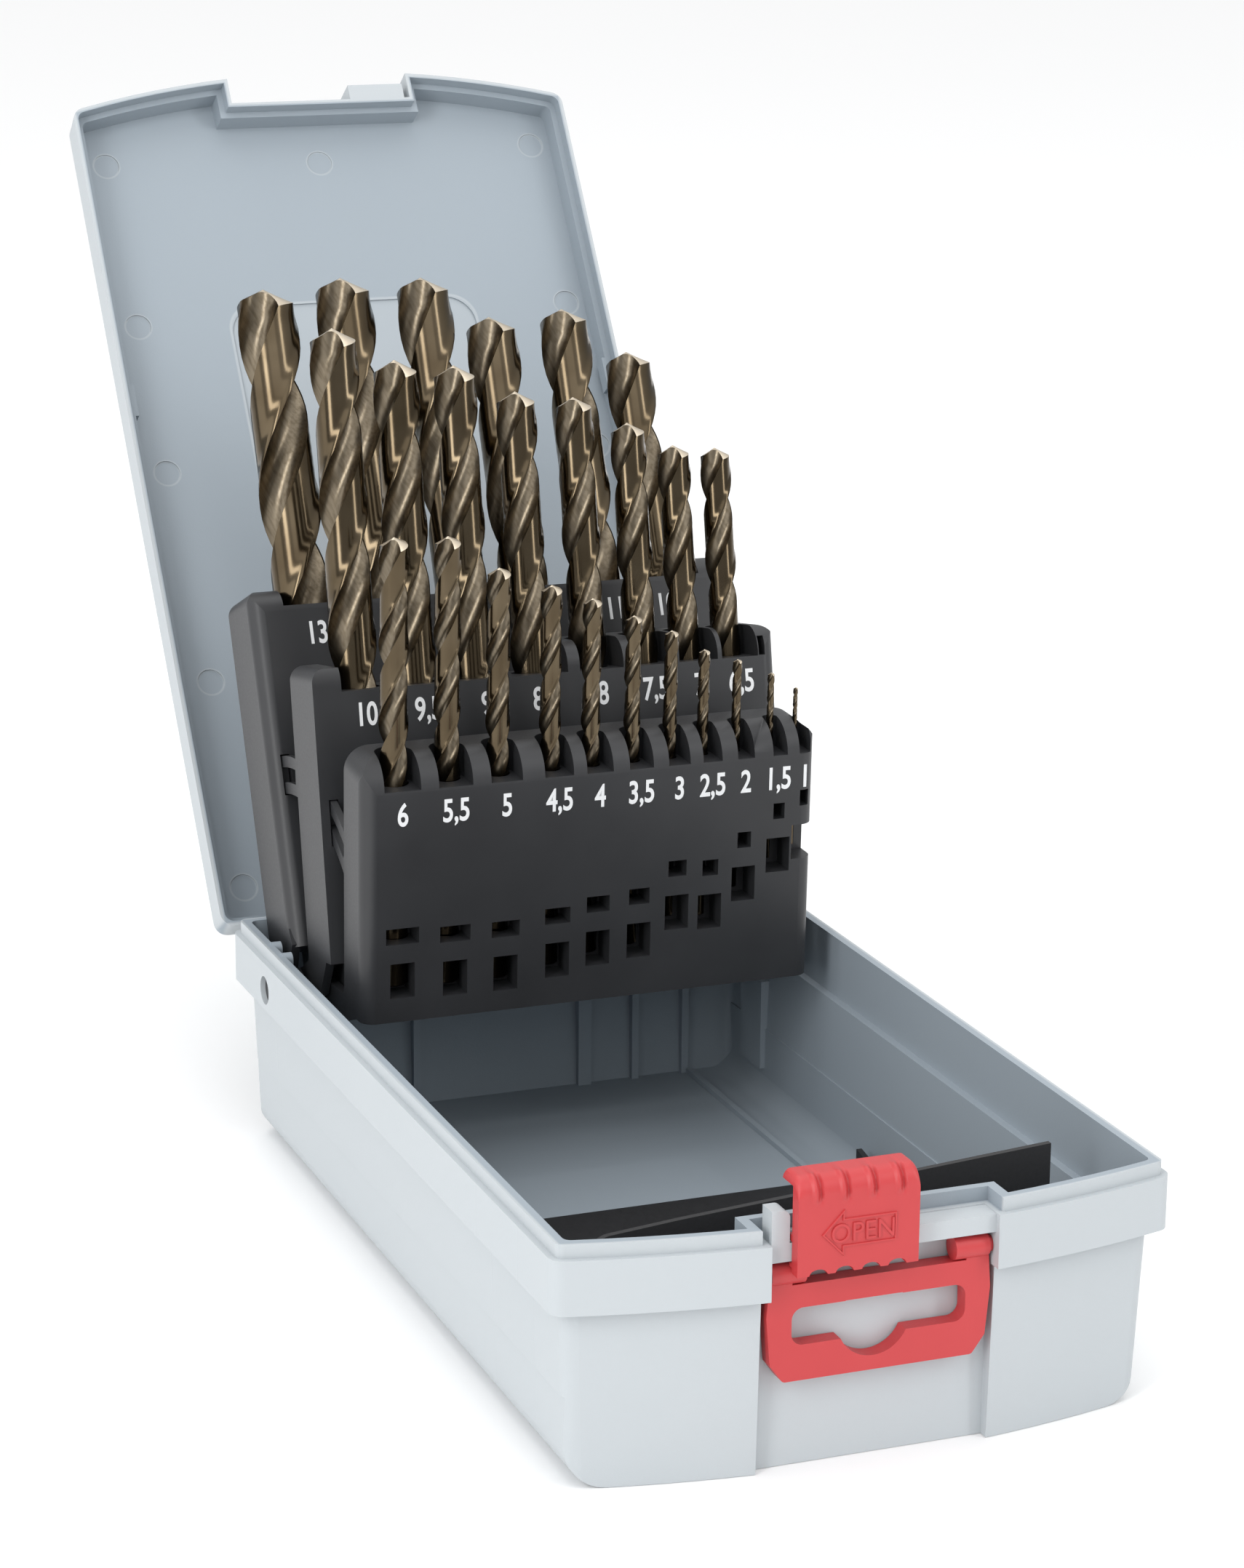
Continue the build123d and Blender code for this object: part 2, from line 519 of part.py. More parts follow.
with BuildPart() as base_tray:
    with BuildSketch():
        add(case_outline(WALL_INSET_FOOT, WALL_CORNER_RADIUS))
    with BuildSketch(Plane.XY.offset(BAND_BOTTOM_Z)):
        add(case_outline(WALL_INSET_BAND, WALL_CORNER_RADIUS))
    loft()
    with BuildSketch(Plane.XZ) as tray_section:
        Rectangle(
            2 * (CASE_HALF_WIDTH - WALL_INSET_FOOT) + SECTION_SPARE,
            2 * BAND_TOP_Z,
            align=(Align.CENTER, Align.MIN),
        )
        fillet(tray_section.vertices().group_by(Axis.Y)[0], FOOT_EDGE_RADIUS)
        with Locations((0, BAND_BOTTOM_Z / 2)):
            Rectangle(2 * CASE_HALF_WIDTH, 2 * BAND_TOP_Z, align=(Align.CENTER, Align.MIN))
    extrude(amount=2 * REAR_Y, both=True, mode=Mode.INTERSECT)
    with BuildSketch(Plane.XY.offset(BAND_BOTTOM_Z)):
        add(case_outline(0, BAND_CORNER_RADIUS))
    extrude(amount=BAND_TOP_Z - BAND_BOTTOM_Z)
    with BuildSketch(Plane.XY.offset(BAND_TOP_Z)):
        add(case_outline(LIP_INSET, BAND_CORNER_RADIUS - LIP_INSET))
    extrude(amount=LIP_TOP_Z - BAND_TOP_Z)
    add(tray_hollow.part, mode=Mode.SUBTRACT)
    add(band_hollow.part, mode=Mode.SUBTRACT)
    # recess for the handle, and the notch through the band
    span_box(
        (-RECESS_HALF_WIDTH, RECESS_HALF_WIDTH),
        (far_front_y, NOTCH_Y),
        (-CUT_OVER, BAND_BOTTOM_Z),
        Mode.SUBTRACT,
    )
    span_box(
        (-NOTCH_HALF_WIDTH, NOTCH_HALF_WIDTH),
        (far_front_y, NOTCH_Y),
        (BAND_BOTTOM_Z - CUT_OVER, BAND_TOP_Z),
        Mode.SUBTRACT,
    )
    span_box(
        (-lip_notch_half, lip_notch_half),
        (far_front_y, LIP_NOTCH_Y),
        (BAND_TOP_Z, LIP_TOP_Z + CUT_OVER),
        Mode.SUBTRACT,
    )
    # rail that carries the latch, and the post that stops it
    span_box(
        (-NOTCH_HALF_WIDTH - OVERLAP, NOTCH_HALF_WIDTH + OVERLAP),
        (RAIL_FRONT_Y, NOTCH_Y + OVERLAP),
        (RAIL_BOTTOM_Z, RAIL_TOP_Z),
    )
    with BuildSketch(Plane.XZ.offset(-POST_BACK_Y)) as post_face:
        with Locations((POST_LEFT_X, RAIL_BOTTOM_Z)):
            Rectangle(
                POST_RIGHT_X - POST_LEFT_X,
                POST_TOP_Z - RAIL_BOTTOM_Z,
                align=(Align.MIN, Align.MIN),
            )
        post_corner = post_face.vertices().group_by(Axis.Y)[-1].sort_by(Axis.X)[-1]
        fillet(post_corner, POST_ROUND)
    extrude(amount=POST_BACK_Y - RAIL_FRONT_Y)
    # ribs on the rear wall, where the rear rack comes to rest
    for rib_share, rib_width in RIBS:
        rib_x = share_of(rib_share, CASE_HALF_WIDTH)
        span_box(
            (rib_x - rib_width / 2, rib_x + rib_width / 2),
            (RIB_FACE_Y, REAR_Y - LIP_INNER_INSET + OVERLAP),
            (FLOOR / 2, RIB_TOP_Z),
        )
    # low rib and raised panel on the floor
    floor_rib_x = share_of(FLOOR_RIB_SHARE, CASE_HALF_WIDTH)
    floor_panel_x = share_of(FLOOR_PANEL_SHARE, CASE_HALF_WIDTH)
    span_box(
        (floor_rib_x, floor_rib_x + FLOOR_RIB_WIDTH),
        (LINER_REAR_Y + LINER_END_GAP, REAR_Y - FLOOR_RIB_REAR_GAP),
        (FLOOR / 2, FLOOR + FLOOR_RIB_RISE),
    )
    with BuildSketch(Plane.XY.offset(FLOOR / 2)) as floor_panel:
        with Locations((floor_panel_x, LINER_REAR_Y + LINER_END_GAP)):
            Rectangle(FLOOR_PANEL_WIDTH, FLOOR_PANEL_LENGTH, align=(Align.MIN, Align.MIN))
        panel_corner = floor_panel.vertices().group_by(Axis.Y)[-1].sort_by(Axis.X)[-1]
        fillet(panel_corner, FLOOR_PANEL_RADIUS)
    extrude(amount=FLOOR / 2 + FLOOR_PANEL_RISE)
    # tab on the right wall
    span_box(
        (CASE_HALF_WIDTH - TAB_INNER_GAP, CASE_HALF_WIDTH - TAB_OUTER_GAP),
        (PIVOT_Y - TAB_BACK_SHIFT, PIVOT_Y - TAB_BACK_SHIFT + TAB_LENGTH),
        (TAB_BOTTOM_Z, TAB_BOTTOM_Z + TAB_HEIGHT),
    )
    for side in (-1, 1):
        # boss, pin hole and countersink at the pivot of the racks
        cross_rod(
            side_span(side, PIVOT_BOSS_END_X, CASE_HALF_WIDTH - OVERLAP),
            PIVOT_Y,
            PIVOT_Z,
            PIVOT_BOSS_RADIUS,
        )
        cross_rod(
            side_span(side, PIVOT_PIN_END_X, CASE_HALF_WIDTH + OVERLAP),
            PIVOT_Y,
            PIVOT_Z,
            PIVOT_PIN_RADIUS + PIN_SEAT_CLEARANCE,
            Mode.SUBTRACT,
        )
        cross_rod(
            side_span(side, CASE_HALF_WIDTH - PIVOT_SINK_DEPTH, CASE_HALF_WIDTH + OVERLAP),
            PIVOT_Y,
            PIVOT_Z,
            PIVOT_SINK_RADIUS,
            Mode.SUBTRACT,
        )
        # two round-topped fingers beside the pivot
        finger_x = side_span(
            side,
            CASE_HALF_WIDTH - FINGER_INNER_GAP,
            CASE_HALF_WIDTH - LIP_INNER_INSET + SHORT_OVERLAP,
        )
        for finger_y in (PIVOT_Y - FINGER_OFFSET, PIVOT_Y + FINGER_OFFSET):
            span_box(
                finger_x,
                (finger_y - FINGER_HALF, finger_y + FINGER_HALF),
                (BAND_BOTTOM_Z, FINGER_TOP_Z),
            )
            cross_rod(finger_x, finger_y, FINGER_TOP_Z, FINGER_HALF)
        # bearing holes for the handle in the cheeks
        cross_rod(
            side_span(side, NOTCH_HALF_WIDTH - OVERLAP, HANDLE_PIN_END_X + HANDLE_PIN_SPARE),
            HANDLE_PIVOT_Y,
            HANDLE_PIVOT_Z,
            HANDLE_PIN_RADIUS + RUNNING_CLEARANCE,
            Mode.SUBTRACT,
        )
        # fixed knuckles of the lid hinge
        for end in (-1, 1):
            start = LID_KNUCKLE_LENGTH / 2 + KNUCKLE_GAP
            centre = side * HINGE_CENTRE_X
            ends = sorted((centre + end * start, centre + end * (start + BASE_KNUCKLE_LENGTH)))
            cross_rod(ends, HINGE_Y, HINGE_Z, KNUCKLE_RADIUS)
            with BuildSketch(Plane.YZ.offset(ends[0])):
                with BuildLine():
                    Polyline(
                        (REAR_Y - OVERLAP, BAND_BOTTOM_Z + BASE_WEB_FOOT_RISE),
                        (REAR_Y, BAND_BOTTOM_Z + BASE_WEB_FOOT_RISE),
                        (HINGE_Y + BASE_WEB_TAIL[0], HINGE_Z + BASE_WEB_TAIL[1]),
                        (HINGE_Y, BASE_WEB_TOP_Z),
                        (REAR_Y - OVERLAP, BASE_WEB_TOP_Z),
                        close=True,
                    )
                make_face()
            extrude(amount=BASE_KNUCKLE_LENGTH)
            cross_rod(ends, HINGE_Y, HINGE_Z, HINGE_PIN_RADIUS + PIN_SEAT_CLEARANCE, Mode.SUBTRACT)

base_tray.part.label = "base_tray"
export_step(base_tray.part, "parts/base_tray.step")


# ======== lid, drawn closed and then swung open ===========================
ejector_places = [
    (share_of(across, CASE_HALF_WIDTH), share_of(back, REAR_Y)) for across, back in EJECTOR_SPOTS
]

with BuildPart() as lid_closed:
    with BuildSketch(Plane.XY.offset(LID_RIM_Z)):
        add(case_outline(0, BAND_CORNER_RADIUS))
    with BuildSketch(Plane.XY.offset(LID_TOP_Z)):
        add(case_outline(LID_TOP_INSET, BAND_CORNER_RADIUS))
    loft()
    fillet(lid_closed.faces().sort_by(Axis.Z)[-1].edges(), LID_EDGE_RADIUS)
    with BuildSketch(Plane.XY.offset(LID_RIM_Z)):
        add(case_outline(SKIRT, BAND_CORNER_RADIUS - SKIRT))
        with Locations((0, LID_NOTCH_Y + SKIRT)):
            Rectangle(
                2 * (NOTCH_HALF_WIDTH + SKIRT),
                4 * BOW_RISE,
                align=(Align.CENTER, Align.MAX),
                mode=Mode.SUBTRACT,
            )
    extrude(amount=LID_STEP_Z - LID_RIM_Z, mode=Mode.SUBTRACT)
    with BuildSketch(Plane.XY.offset(LID_STEP_Z)):
        add(case_outline(LID_WALL, INNER_CORNER_RADIUS))
        with Locations((0, LID_NOTCH_Y + LID_WALL)):
            Rectangle(
                2 * (NOTCH_HALF_WIDTH + LID_WALL),
                4 * BOW_RISE,
                align=(Align.CENTER, Align.MAX),
                mode=Mode.SUBTRACT,
            )
    extrude(amount=LID_INNER_Z - LID_STEP_Z, mode=Mode.SUBTRACT)
    span_box(
        (-NOTCH_HALF_WIDTH, NOTCH_HALF_WIDTH),
        (far_front_y, LID_NOTCH_Y),
        (0, LID_TOP_Z + CUT_OVER),
        Mode.SUBTRACT,
    )
    # keeper that the latch slides over
    with BuildSketch(Plane.YZ.offset(KEEPER_LEFT_X)) as keeper_side:
        with Locations((KEEPER_FRONT_Y, KEEPER_BOTTOM_Z)):
            Rectangle(
                LID_NOTCH_Y + OVERLAP - KEEPER_FRONT_Y,
                KEEPER_TOP_Z - KEEPER_BOTTOM_Z,
                align=(Align.MIN, Align.MIN),
            )
        keeper_corner = keeper_side.vertices().group_by(Axis.Y)[-1].sort_by(Axis.X)[0]
        fillet(keeper_corner, KEEPER_ROUND)
    extrude(amount=KEEPER_RIGHT_X - KEEPER_LEFT_X)
    # sunk label field and ejector marks inside
    with BuildSketch(Plane.XY.offset(LID_INNER_Z)):
        with Locations((0, LABEL_FRONT_Y)):
            RectangleRounded(
                2 * LABEL_HALF_WIDTH,
                LABEL_REAR_Y - LABEL_FRONT_Y,
                LABEL_CORNER_RADIUS,
                align=(Align.CENTER, Align.MIN),
            )
    extrude(amount=LABEL_DEPTH, mode=Mode.SUBTRACT)
    with BuildSketch(Plane.XY.offset(LID_INNER_Z)):
        with Locations(*ejector_places):
            Circle(EJECTOR_RADIUS)
    extrude(amount=EJECTOR_DEPTH, mode=Mode.SUBTRACT)
    for side in (-1, 1):
        # small hooks on the side walls
        hook_inner = CASE_HALF_WIDTH - LID_WALL - HOOK_REACH
        hook_y = share_of(HOOK_FRONT_SHARE, REAR_Y)
        span_box(
            side_span(side, hook_inner, CASE_HALF_WIDTH - LID_WALL + SHORT_OVERLAP),
            (hook_y, hook_y + HOOK_LENGTH),
            (LID_STEP_Z, LID_STEP_Z + HOOK_HEIGHT),
        )
        # moving knuckle between the two fixed ones
        knuckle_x = (
            side * HINGE_CENTRE_X - LID_KNUCKLE_LENGTH / 2,
            side * HINGE_CENTRE_X + LID_KNUCKLE_LENGTH / 2,
        )
        cross_rod(knuckle_x, HINGE_Y, HINGE_Z, KNUCKLE_RADIUS)
        with BuildSketch(Plane.YZ.offset(knuckle_x[0])):
            with BuildLine():
                Polyline(
                    (REAR_Y + LID_WEB_FRONT, HINGE_Z),
                    (HINGE_Y + LID_WEB_BACK, HINGE_Z),
                    (HINGE_Y + LID_WEB_TOP[0], LID_STEP_Z + LID_WEB_TOP[1]),
                    (REAR_Y - OVERLAP, LID_STEP_Z + LID_WEB_ROOT_RISE),
                    (REAR_Y - LID_WEB_INNER, LID_RIM_Z + LID_WEB_FRONT),
                    (REAR_Y + LID_WEB_FRONT, LID_RIM_Z + LID_WEB_FRONT),
                    close=True,
                )
            make_face()
        extrude(amount=LID_KNUCKLE_LENGTH)
        cross_rod(
            (knuckle_x[0] - OVERLAP, knuckle_x[1] + OVERLAP),
            HINGE_Y,
            HINGE_Z,
            HINGE_PIN_RADIUS + RUNNING_CLEARANCE,
            Mode.SUBTRACT,
        )

hinge_axis = Axis((0, HINGE_Y, HINGE_Z), (1, 0, 0))
lid_opened = lid_closed.part.rotate(hinge_axis, -LID_OPEN_DEG)

with BuildPart() as lid_shell:
    add(lid_opened)

lid_shell.part.label = "lid_shell"
export_step(lid_shell.part, "parts/lid_shell.step")


# ======== pins ===========================================================
hinge_pin_half = LID_KNUCKLE_LENGTH / 2 + KNUCKLE_GAP + BASE_KNUCKLE_LENGTH
for name, side in (("left", -1), ("right", 1)):
    with BuildPart() as hinge_pin:
        hinge_x = side * HINGE_CENTRE_X
        cross_rod(
            (hinge_x - hinge_pin_half, hinge_x + hinge_pin_half),
            HINGE_Y,
            HINGE_Z,
            HINGE_PIN_RADIUS,
        )
        chamfer(hinge_pin.edges().filter_by(GeomType.CIRCLE), PIN_CHAMFER)
    hinge_pin.part.label = "hinge_pin_" + name
    export_step(hinge_pin.part, "parts/hinge_pin_" + name + ".step")

    with BuildPart() as pivot_pin:
        sink_floor = CASE_HALF_WIDTH - PIVOT_SINK_DEPTH
        cross_rod(
            side_span(side, PIVOT_PIN_END_X, sink_floor),
            PIVOT_Y,
            PIVOT_Z,
            PIVOT_PIN_RADIUS,
        )
        chamfer(pivot_pin.edges().filter_by(GeomType.CIRCLE), PIN_CHAMFER)
        cross_rod(
            side_span(side, sink_floor, sink_floor + PIVOT_HEAD_THICK),
            PIVOT_Y,
            PIVOT_Z,
            PIVOT_HEAD_RADIUS,
        )
    pivot_pin.part.label = "pivot_pin_" + name
    export_step(pivot_pin.part, "parts/pivot_pin_" + name + ".step")


# ======== latch slider ===================================================
claw_top_z = RAIL_BOTTOM_Z - GUIDE_GAP
guide_bottom_z = RAIL_TOP_Z + GUIDE_GAP

with BuildPart() as latch_slider:
    with BuildSketch(Plane.YZ.offset(LATCH_LEFT_X)) as latch_side:
        with Locations((LATCH_FRONT_Y, LATCH_BOTTOM_Z)):
            Rectangle(
                JAW_BACK_Y - LATCH_FRONT_Y,
                LATCH_TOP_Z - LATCH_BOTTOM_Z,
                align=(Align.MIN, Align.MIN),
            )
        fillet(latch_side.vertices().group_by(Axis.Y)[-1].sort_by(Axis.X)[0], JAW_ROUND)
        with Locations((LATCH_BACK_Y, LATCH_BOTTOM_Z)):
            Rectangle(
                JAW_BACK_Y - LATCH_BACK_Y + OVERLAP,
                JAW_UNDERSIDE_Z - LATCH_BOTTOM_Z,
                align=(Align.MIN, Align.MIN),
                mode=Mode.SUBTRACT,
            )
        with Locations((LATCH_BACK_Y - OVERLAP, guide_bottom_z)):
            Rectangle(
                GUIDE_BACK_Y - LATCH_BACK_Y + OVERLAP,
                GUIDE_THICK,
                align=(Align.MIN, Align.MIN),
            )
        with Locations((LATCH_BACK_Y - OVERLAP, claw_top_z)):
            Rectangle(
                CLAW_BACK_Y - LATCH_BACK_Y + OVERLAP,
                CLAW_THICK,
                align=(Align.MIN, Align.MAX),
            )
    extrude(amount=LATCH_WIDTH)
    # rounded upper ends of the jaw and the scalloped lower edge
    with BuildSketch(Plane.XZ.offset(-JAW_BACK_Y)) as latch_front:
        with Locations((LATCH_LEFT_X, LATCH_BOTTOM_Z)):
            Rectangle(
                LATCH_WIDTH,
                LATCH_TOP_Z - LATCH_BOTTOM_Z,
                align=(Align.MIN, Align.MIN),
            )
        fillet(latch_front.vertices().group_by(Axis.Y)[-1], LATCH_CORNER_RADIUS)
        with Locations((LATCH_LEFT_X + LATCH_WIDTH / 2, LATCH_BOTTOM_Z - SCALLOP_DROP)):
            with GridLocations(GRIP_PITCH, 1, SCALLOP_COUNT, 1):
                Circle(SCALLOP_RADIUS, mode=Mode.SUBTRACT)
    extrude(amount=JAW_BACK_Y - LATCH_FRONT_Y + OVERLAP, mode=Mode.INTERSECT)
    # finger grooves across the rounded top edge
    grip_plane = Plane(
        origin=(LATCH_LEFT_X + LATCH_WIDTH / 2, LATCH_FRONT_Y, LATCH_TOP_Z - GRIP_DROP),
        x_dir=(1, 0, 0),
        z_dir=(0, -1, 0),
    )
    with BuildSketch(grip_plane):
        with GridLocations(GRIP_PITCH, 1, GRIP_COUNT, 1):
            SlotOverall(2 * GRIP_HALF_LENGTH, 2 * GRIP_RADIUS, rotation=GRIP_SLANT_DEG)
    extrude(amount=-GRIP_DEPTH, mode=Mode.SUBTRACT)

latch_slider.part.label = "latch_slider"
export_step(latch_slider.part, "parts/latch_slider.step")


# ======== hanging handle =================================================
with BuildPart() as hanging_handle:
    with BuildSketch(Plane.XZ.offset(-HANDLE_BACK_Y)) as handle_face:
        with BuildLine():
            Polyline(
                (-HANDLE_TOP_HALF, HANDLE_PIVOT_Z),
                (-HANDLE_MID_HALF, HANDLE_MID_Z),
                (-HANDLE_LOW_HALF, HANDLE_LOW_Z),
                (-HANDLE_FOOT_HALF, HANDLE_FOOT_Z),
                (HANDLE_FOOT_HALF, HANDLE_FOOT_Z),
                (HANDLE_LOW_HALF, HANDLE_LOW_Z),
                (HANDLE_MID_HALF, HANDLE_MID_Z),
                (HANDLE_TOP_HALF, HANDLE_PIVOT_Z),
                close=True,
            )
        make_face()
        fillet(handle_face.vertices().group_by(Axis.Y)[0], HANDLE_CORNER_RADIUS)
        with Locations((0, BAR_TOP_Z)):
            Rectangle(
                2 * HANDLE_ARM_INNER_X,
                HANDLE_PIVOT_Z,
                align=(Align.CENTER, Align.MIN),
                mode=Mode.SUBTRACT,
            )
    extrude(amount=HANDLE_BACK_Y - HANDLE_FRONT_Y)
    with BuildSketch(Plane.XZ.offset(-HANDLE_BACK_Y)) as grip_window:
        with Locations((0, GRIP_WINDOW_BOTTOM_Z)):
            Rectangle(
                2 * HANDLE_ARM_INNER_X,
                GRIP_WINDOW_TOP_Z - GRIP_WINDOW_BOTTOM_Z,
                align=(Align.CENTER, Align.MIN),
            )
        fillet(grip_window.vertices(), GRIP_WINDOW_ROUND)
        with Locations((HOOK_DIP_X, HOOK_DIP_BOTTOM_Z + HOOK_DIP_RADIUS)):
            Circle(HOOK_DIP_RADIUS)
        with Locations((0, BAR_BOTTOM_Z)):
            Rectangle(
                2 * HANDLE_ARM_INNER_X,
                HANDLE_PIVOT_Z,
                align=(Align.CENTER, Align.MIN),
                mode=Mode.SUBTRACT,
            )
    extrude(amount=HANDLE_BACK_Y - HANDLE_FRONT_Y, mode=Mode.SUBTRACT)
    for side in (-1, 1):
        cross_rod(
            side_span(side, HANDLE_BOSS_INNER_X, HANDLE_TOP_HALF),
            HANDLE_PIVOT_Y,
            HANDLE_PIVOT_Z,
            HANDLE_BOSS_RADIUS,
        )
        cross_rod(
            side_span(side, HANDLE_TOP_HALF - OVERLAP, HANDLE_PIN_END_X),
            HANDLE_PIVOT_Y,
            HANDLE_PIVOT_Z,
            HANDLE_PIN_RADIUS,
        )

hanging_handle.part.label = "hanging_handle"
export_step(hanging_handle.part, "parts/hanging_handle.step")


# ======== liner sheet ====================================================
with BuildPart() as front_insert:
    span_box(
        (-LINER_HALF_WIDTH, LINER_HALF_WIDTH),
        (LINER_FRONT_Y, LINER_REAR_Y),
        (FLOOR, FLOOR + SHEET),
    )
    with BuildSketch(Plane.XZ.offset(-LINER_FRONT_Y - SHEET)) as liner_wall:
        with BuildLine():
            Polyline(
                (LINER_LEFT_X, FLOOR),
                (LINER_LEFT_X, LINER_LEFT_TOP_Z),
                (LINER_KINK_X, LINER_KINK_Z),
                (LINER_RIGHT_X, LINER_RIGHT_TOP_Z),
                (LINER_RIGHT_X, FLOOR),
                close=True,
            )
        make_face()
        left_top = liner_wall.vertices().group_by(Axis.X)[0].sort_by(Axis.Y)[-1]
        fillet(left_top, LINER_CORNER_RADIUS)
    extrude(amount=SHEET)
    # rear right corner of the sheet, turned up
    span_box(
        (LINER_HALF_WIDTH - OVERLAP, CURL_INNER_X + SHEET),
        (CURL_FRONT_Y, CURL_REAR_Y),
        (CURL_BOTTOM_Z, FLOOR + SHEET),
    )
    with BuildSketch(Plane.YZ.offset(CURL_INNER_X)):
        with BuildLine():
            Polyline(
                (CURL_FRONT_Y, CURL_BOTTOM_Z),
                (CURL_REAR_Y, CURL_BOTTOM_Z),
                (CURL_REAR_Y, CURL_TOP_Z),
                close=True,
            )
        make_face()
    extrude(amount=SHEET)

front_insert.part.label = "front_insert"
export_step(front_insert.part, "parts/front_insert.step")


# ======== racks ==========================================================
# Each rack is drawn upright in its own frame: X across the case, Y away from
# the front measured from the pivot, Z up along the drills from the pivot.
def rack_plane(lean):
    """Where a rack stands when the case is open."""
    turn = math.radians(lean)
    return Plane(
        origin=(0, PIVOT_Y, PIVOT_Z),
        x_dir=(1, 0, 0),
        z_dir=(0, math.sin(turn), math.cos(turn)),
    )


def rounded_block(face_points, corner_radius, front, back, top_round):
    """Moulded block with the given front face and rounded outer edges."""
    half = max(point[0] for point in face_points)
    low = min(point[1] for point in face_points)
    high = max(point[1] for point in face_points)
    with BuildPart() as block:
        with BuildSketch(Plane.XZ.offset(-back)) as face:
            with BuildLine():
                Polyline(*face_points, close=True)
            make_face()
            tips = [
                tip
                for tip in face.vertices()
                if tip.Y > high - 2 * OVERLAP and abs(tip.X) > half - LINK_GAP
            ]
            fillet(tips, corner_radius)
        extrude(amount=back - front)
        with BuildSketch(Plane.YZ) as side_view:
            with Locations((front, low - CUT_OVER)):
                Rectangle(back - front, high - low + CUT_OVER, align=(Align.MIN, Align.MIN))
            fillet(side_view.vertices().group_by(Axis.Y)[-1].sort_by(Axis.X)[0], top_round)
        extrude(amount=half + CUT_OVER, both=True, mode=Mode.INTERSECT)
        with BuildSketch(Plane.XY.offset(low - CUT_OVER)) as top_view:
            with Locations((0, front)):
                Rectangle(2 * half, back - front + CUT_OVER, align=(Align.CENTER, Align.MIN))
            fillet(top_view.vertices().group_by(Axis.Y)[0], RACK_EDGE_RADIUS)
        extrude(amount=high - low + 2 * CUT_OVER, mode=Mode.INTERSECT)
    return block.part


def side_plates(profile, inner, outer, mode=Mode.ADD):
    """The same profile on the left and the right, seen from the side."""
    for side in (-1, 1):
        near, far = side_span(side, inner, outer)
        extrude(Plane.YZ.offset(near) * profile, amount=far - near, mode=mode)


def ear_profile(face_points):
    """Side plate that carries a rack on its pivot pin."""
    with BuildSketch() as ear:
        with BuildLine():
            Polyline(*face_points, close=True)
        make_face()
        Circle(EAR_RADIUS)
        Circle(PIVOT_PIN_RADIUS + RUNNING_CLEARANCE, mode=Mode.SUBTRACT)
    return ear.sketch


def ring_sector(inner_radius, outer_radius, first_deg, last_deg):
    """Piece of a ring about the pivot, angles measured from straight up."""
    reach = 1.3 * outer_radius
    first = math.radians(first_deg)
    last = math.radians(last_deg)
    with BuildSketch() as sector:
        with BuildLine():
            Polyline(
                (0, 0),
                (reach * math.sin(first), reach * math.cos(first)),
                (reach * math.sin(last), reach * math.cos(last)),
                close=True,
            )
        make_face()
        Circle(outer_radius, mode=Mode.INTERSECT)
        Circle(inner_radius, mode=Mode.SUBTRACT)
    return sector.sketch


def link_plate(radii, angles):
    """Slotted plate that runs into the rack behind."""
    with BuildSketch() as plate:
        add(ring_sector(radii[0], radii[1], angles[0], angles[1]))
        add(
            ring_sector(
                radii[0] + LINK_RIM,
                radii[1] - LINK_RIM,
                angles[0] + LINK_SLOT_DEG[0],
                angles[1] - LINK_SLOT_DEG[1],
            ),
            mode=Mode.SUBTRACT,
        )
    return plate.sketch


def link_slit(radii, angles):
    """Opening that takes the plate of the rack in front."""
    return ring_sector(
        radii[0] - LINK_GAP,
        radii[1] + LINK_GAP,
        angles[0] - LINK_SLIT_DEG[0],
        angles[1] + LINK_SLIT_DEG[1],
    )


def drill_bores(drills, centre_y, top):
    """Round seats for the shanks."""
    for diameter, _, _, x, seat in drills:
        with Locations((x, centre_y, seat - RACK_FLOOR_GAP)):
            Cylinder(
                diameter / 2 + BORE_CLEARANCE,
                top,
                align=(Align.CENTER, Align.CENTER, Align.MIN),
                mode=Mode.SUBTRACT,
            )


def front_slots(drills, front, centre_y, floor, top):
    """Open slots in front of the drills, above the labels."""
    for diameter, _, _, x, _ in drills:
        half = diameter / 2 + SLOT_SPARE
        span_box(
            (x - half, x + half),
            (front - OVERLAP, centre_y),
            (floor, top + OVERLAP),
            Mode.SUBTRACT,
        )
        with Locations((x, centre_y, floor)):
            Cylinder(
                half,
                top,
                align=(Align.CENTER, Align.CENTER, Align.MIN),
                mode=Mode.SUBTRACT,
            )


front_drills = placed(FRONT_DRILLS, FRONT_HALF)
middle_drills = placed(MIDDLE_DRILLS, MIDDLE_HALF)
rear_drills = placed(REAR_DRILLS, REAR_HALF)
lower_window_half = share_of(LOWER_WINDOW_SHARE, FRONT_HALF)
middle_step_x = share_of(MIDDLE_STEP_SHARE, MIDDLE_HALF)
middle_pillar_x = MIDDLE_HALF - MIDDLE_PILLAR
through_slot_x = MIDDLE_HALF - THROUGH_SLOT_GAP - THROUGH_SLOT_WIDTH
through_slot_z = MIDDLE_SHELF + THROUGH_SLOT_RISE

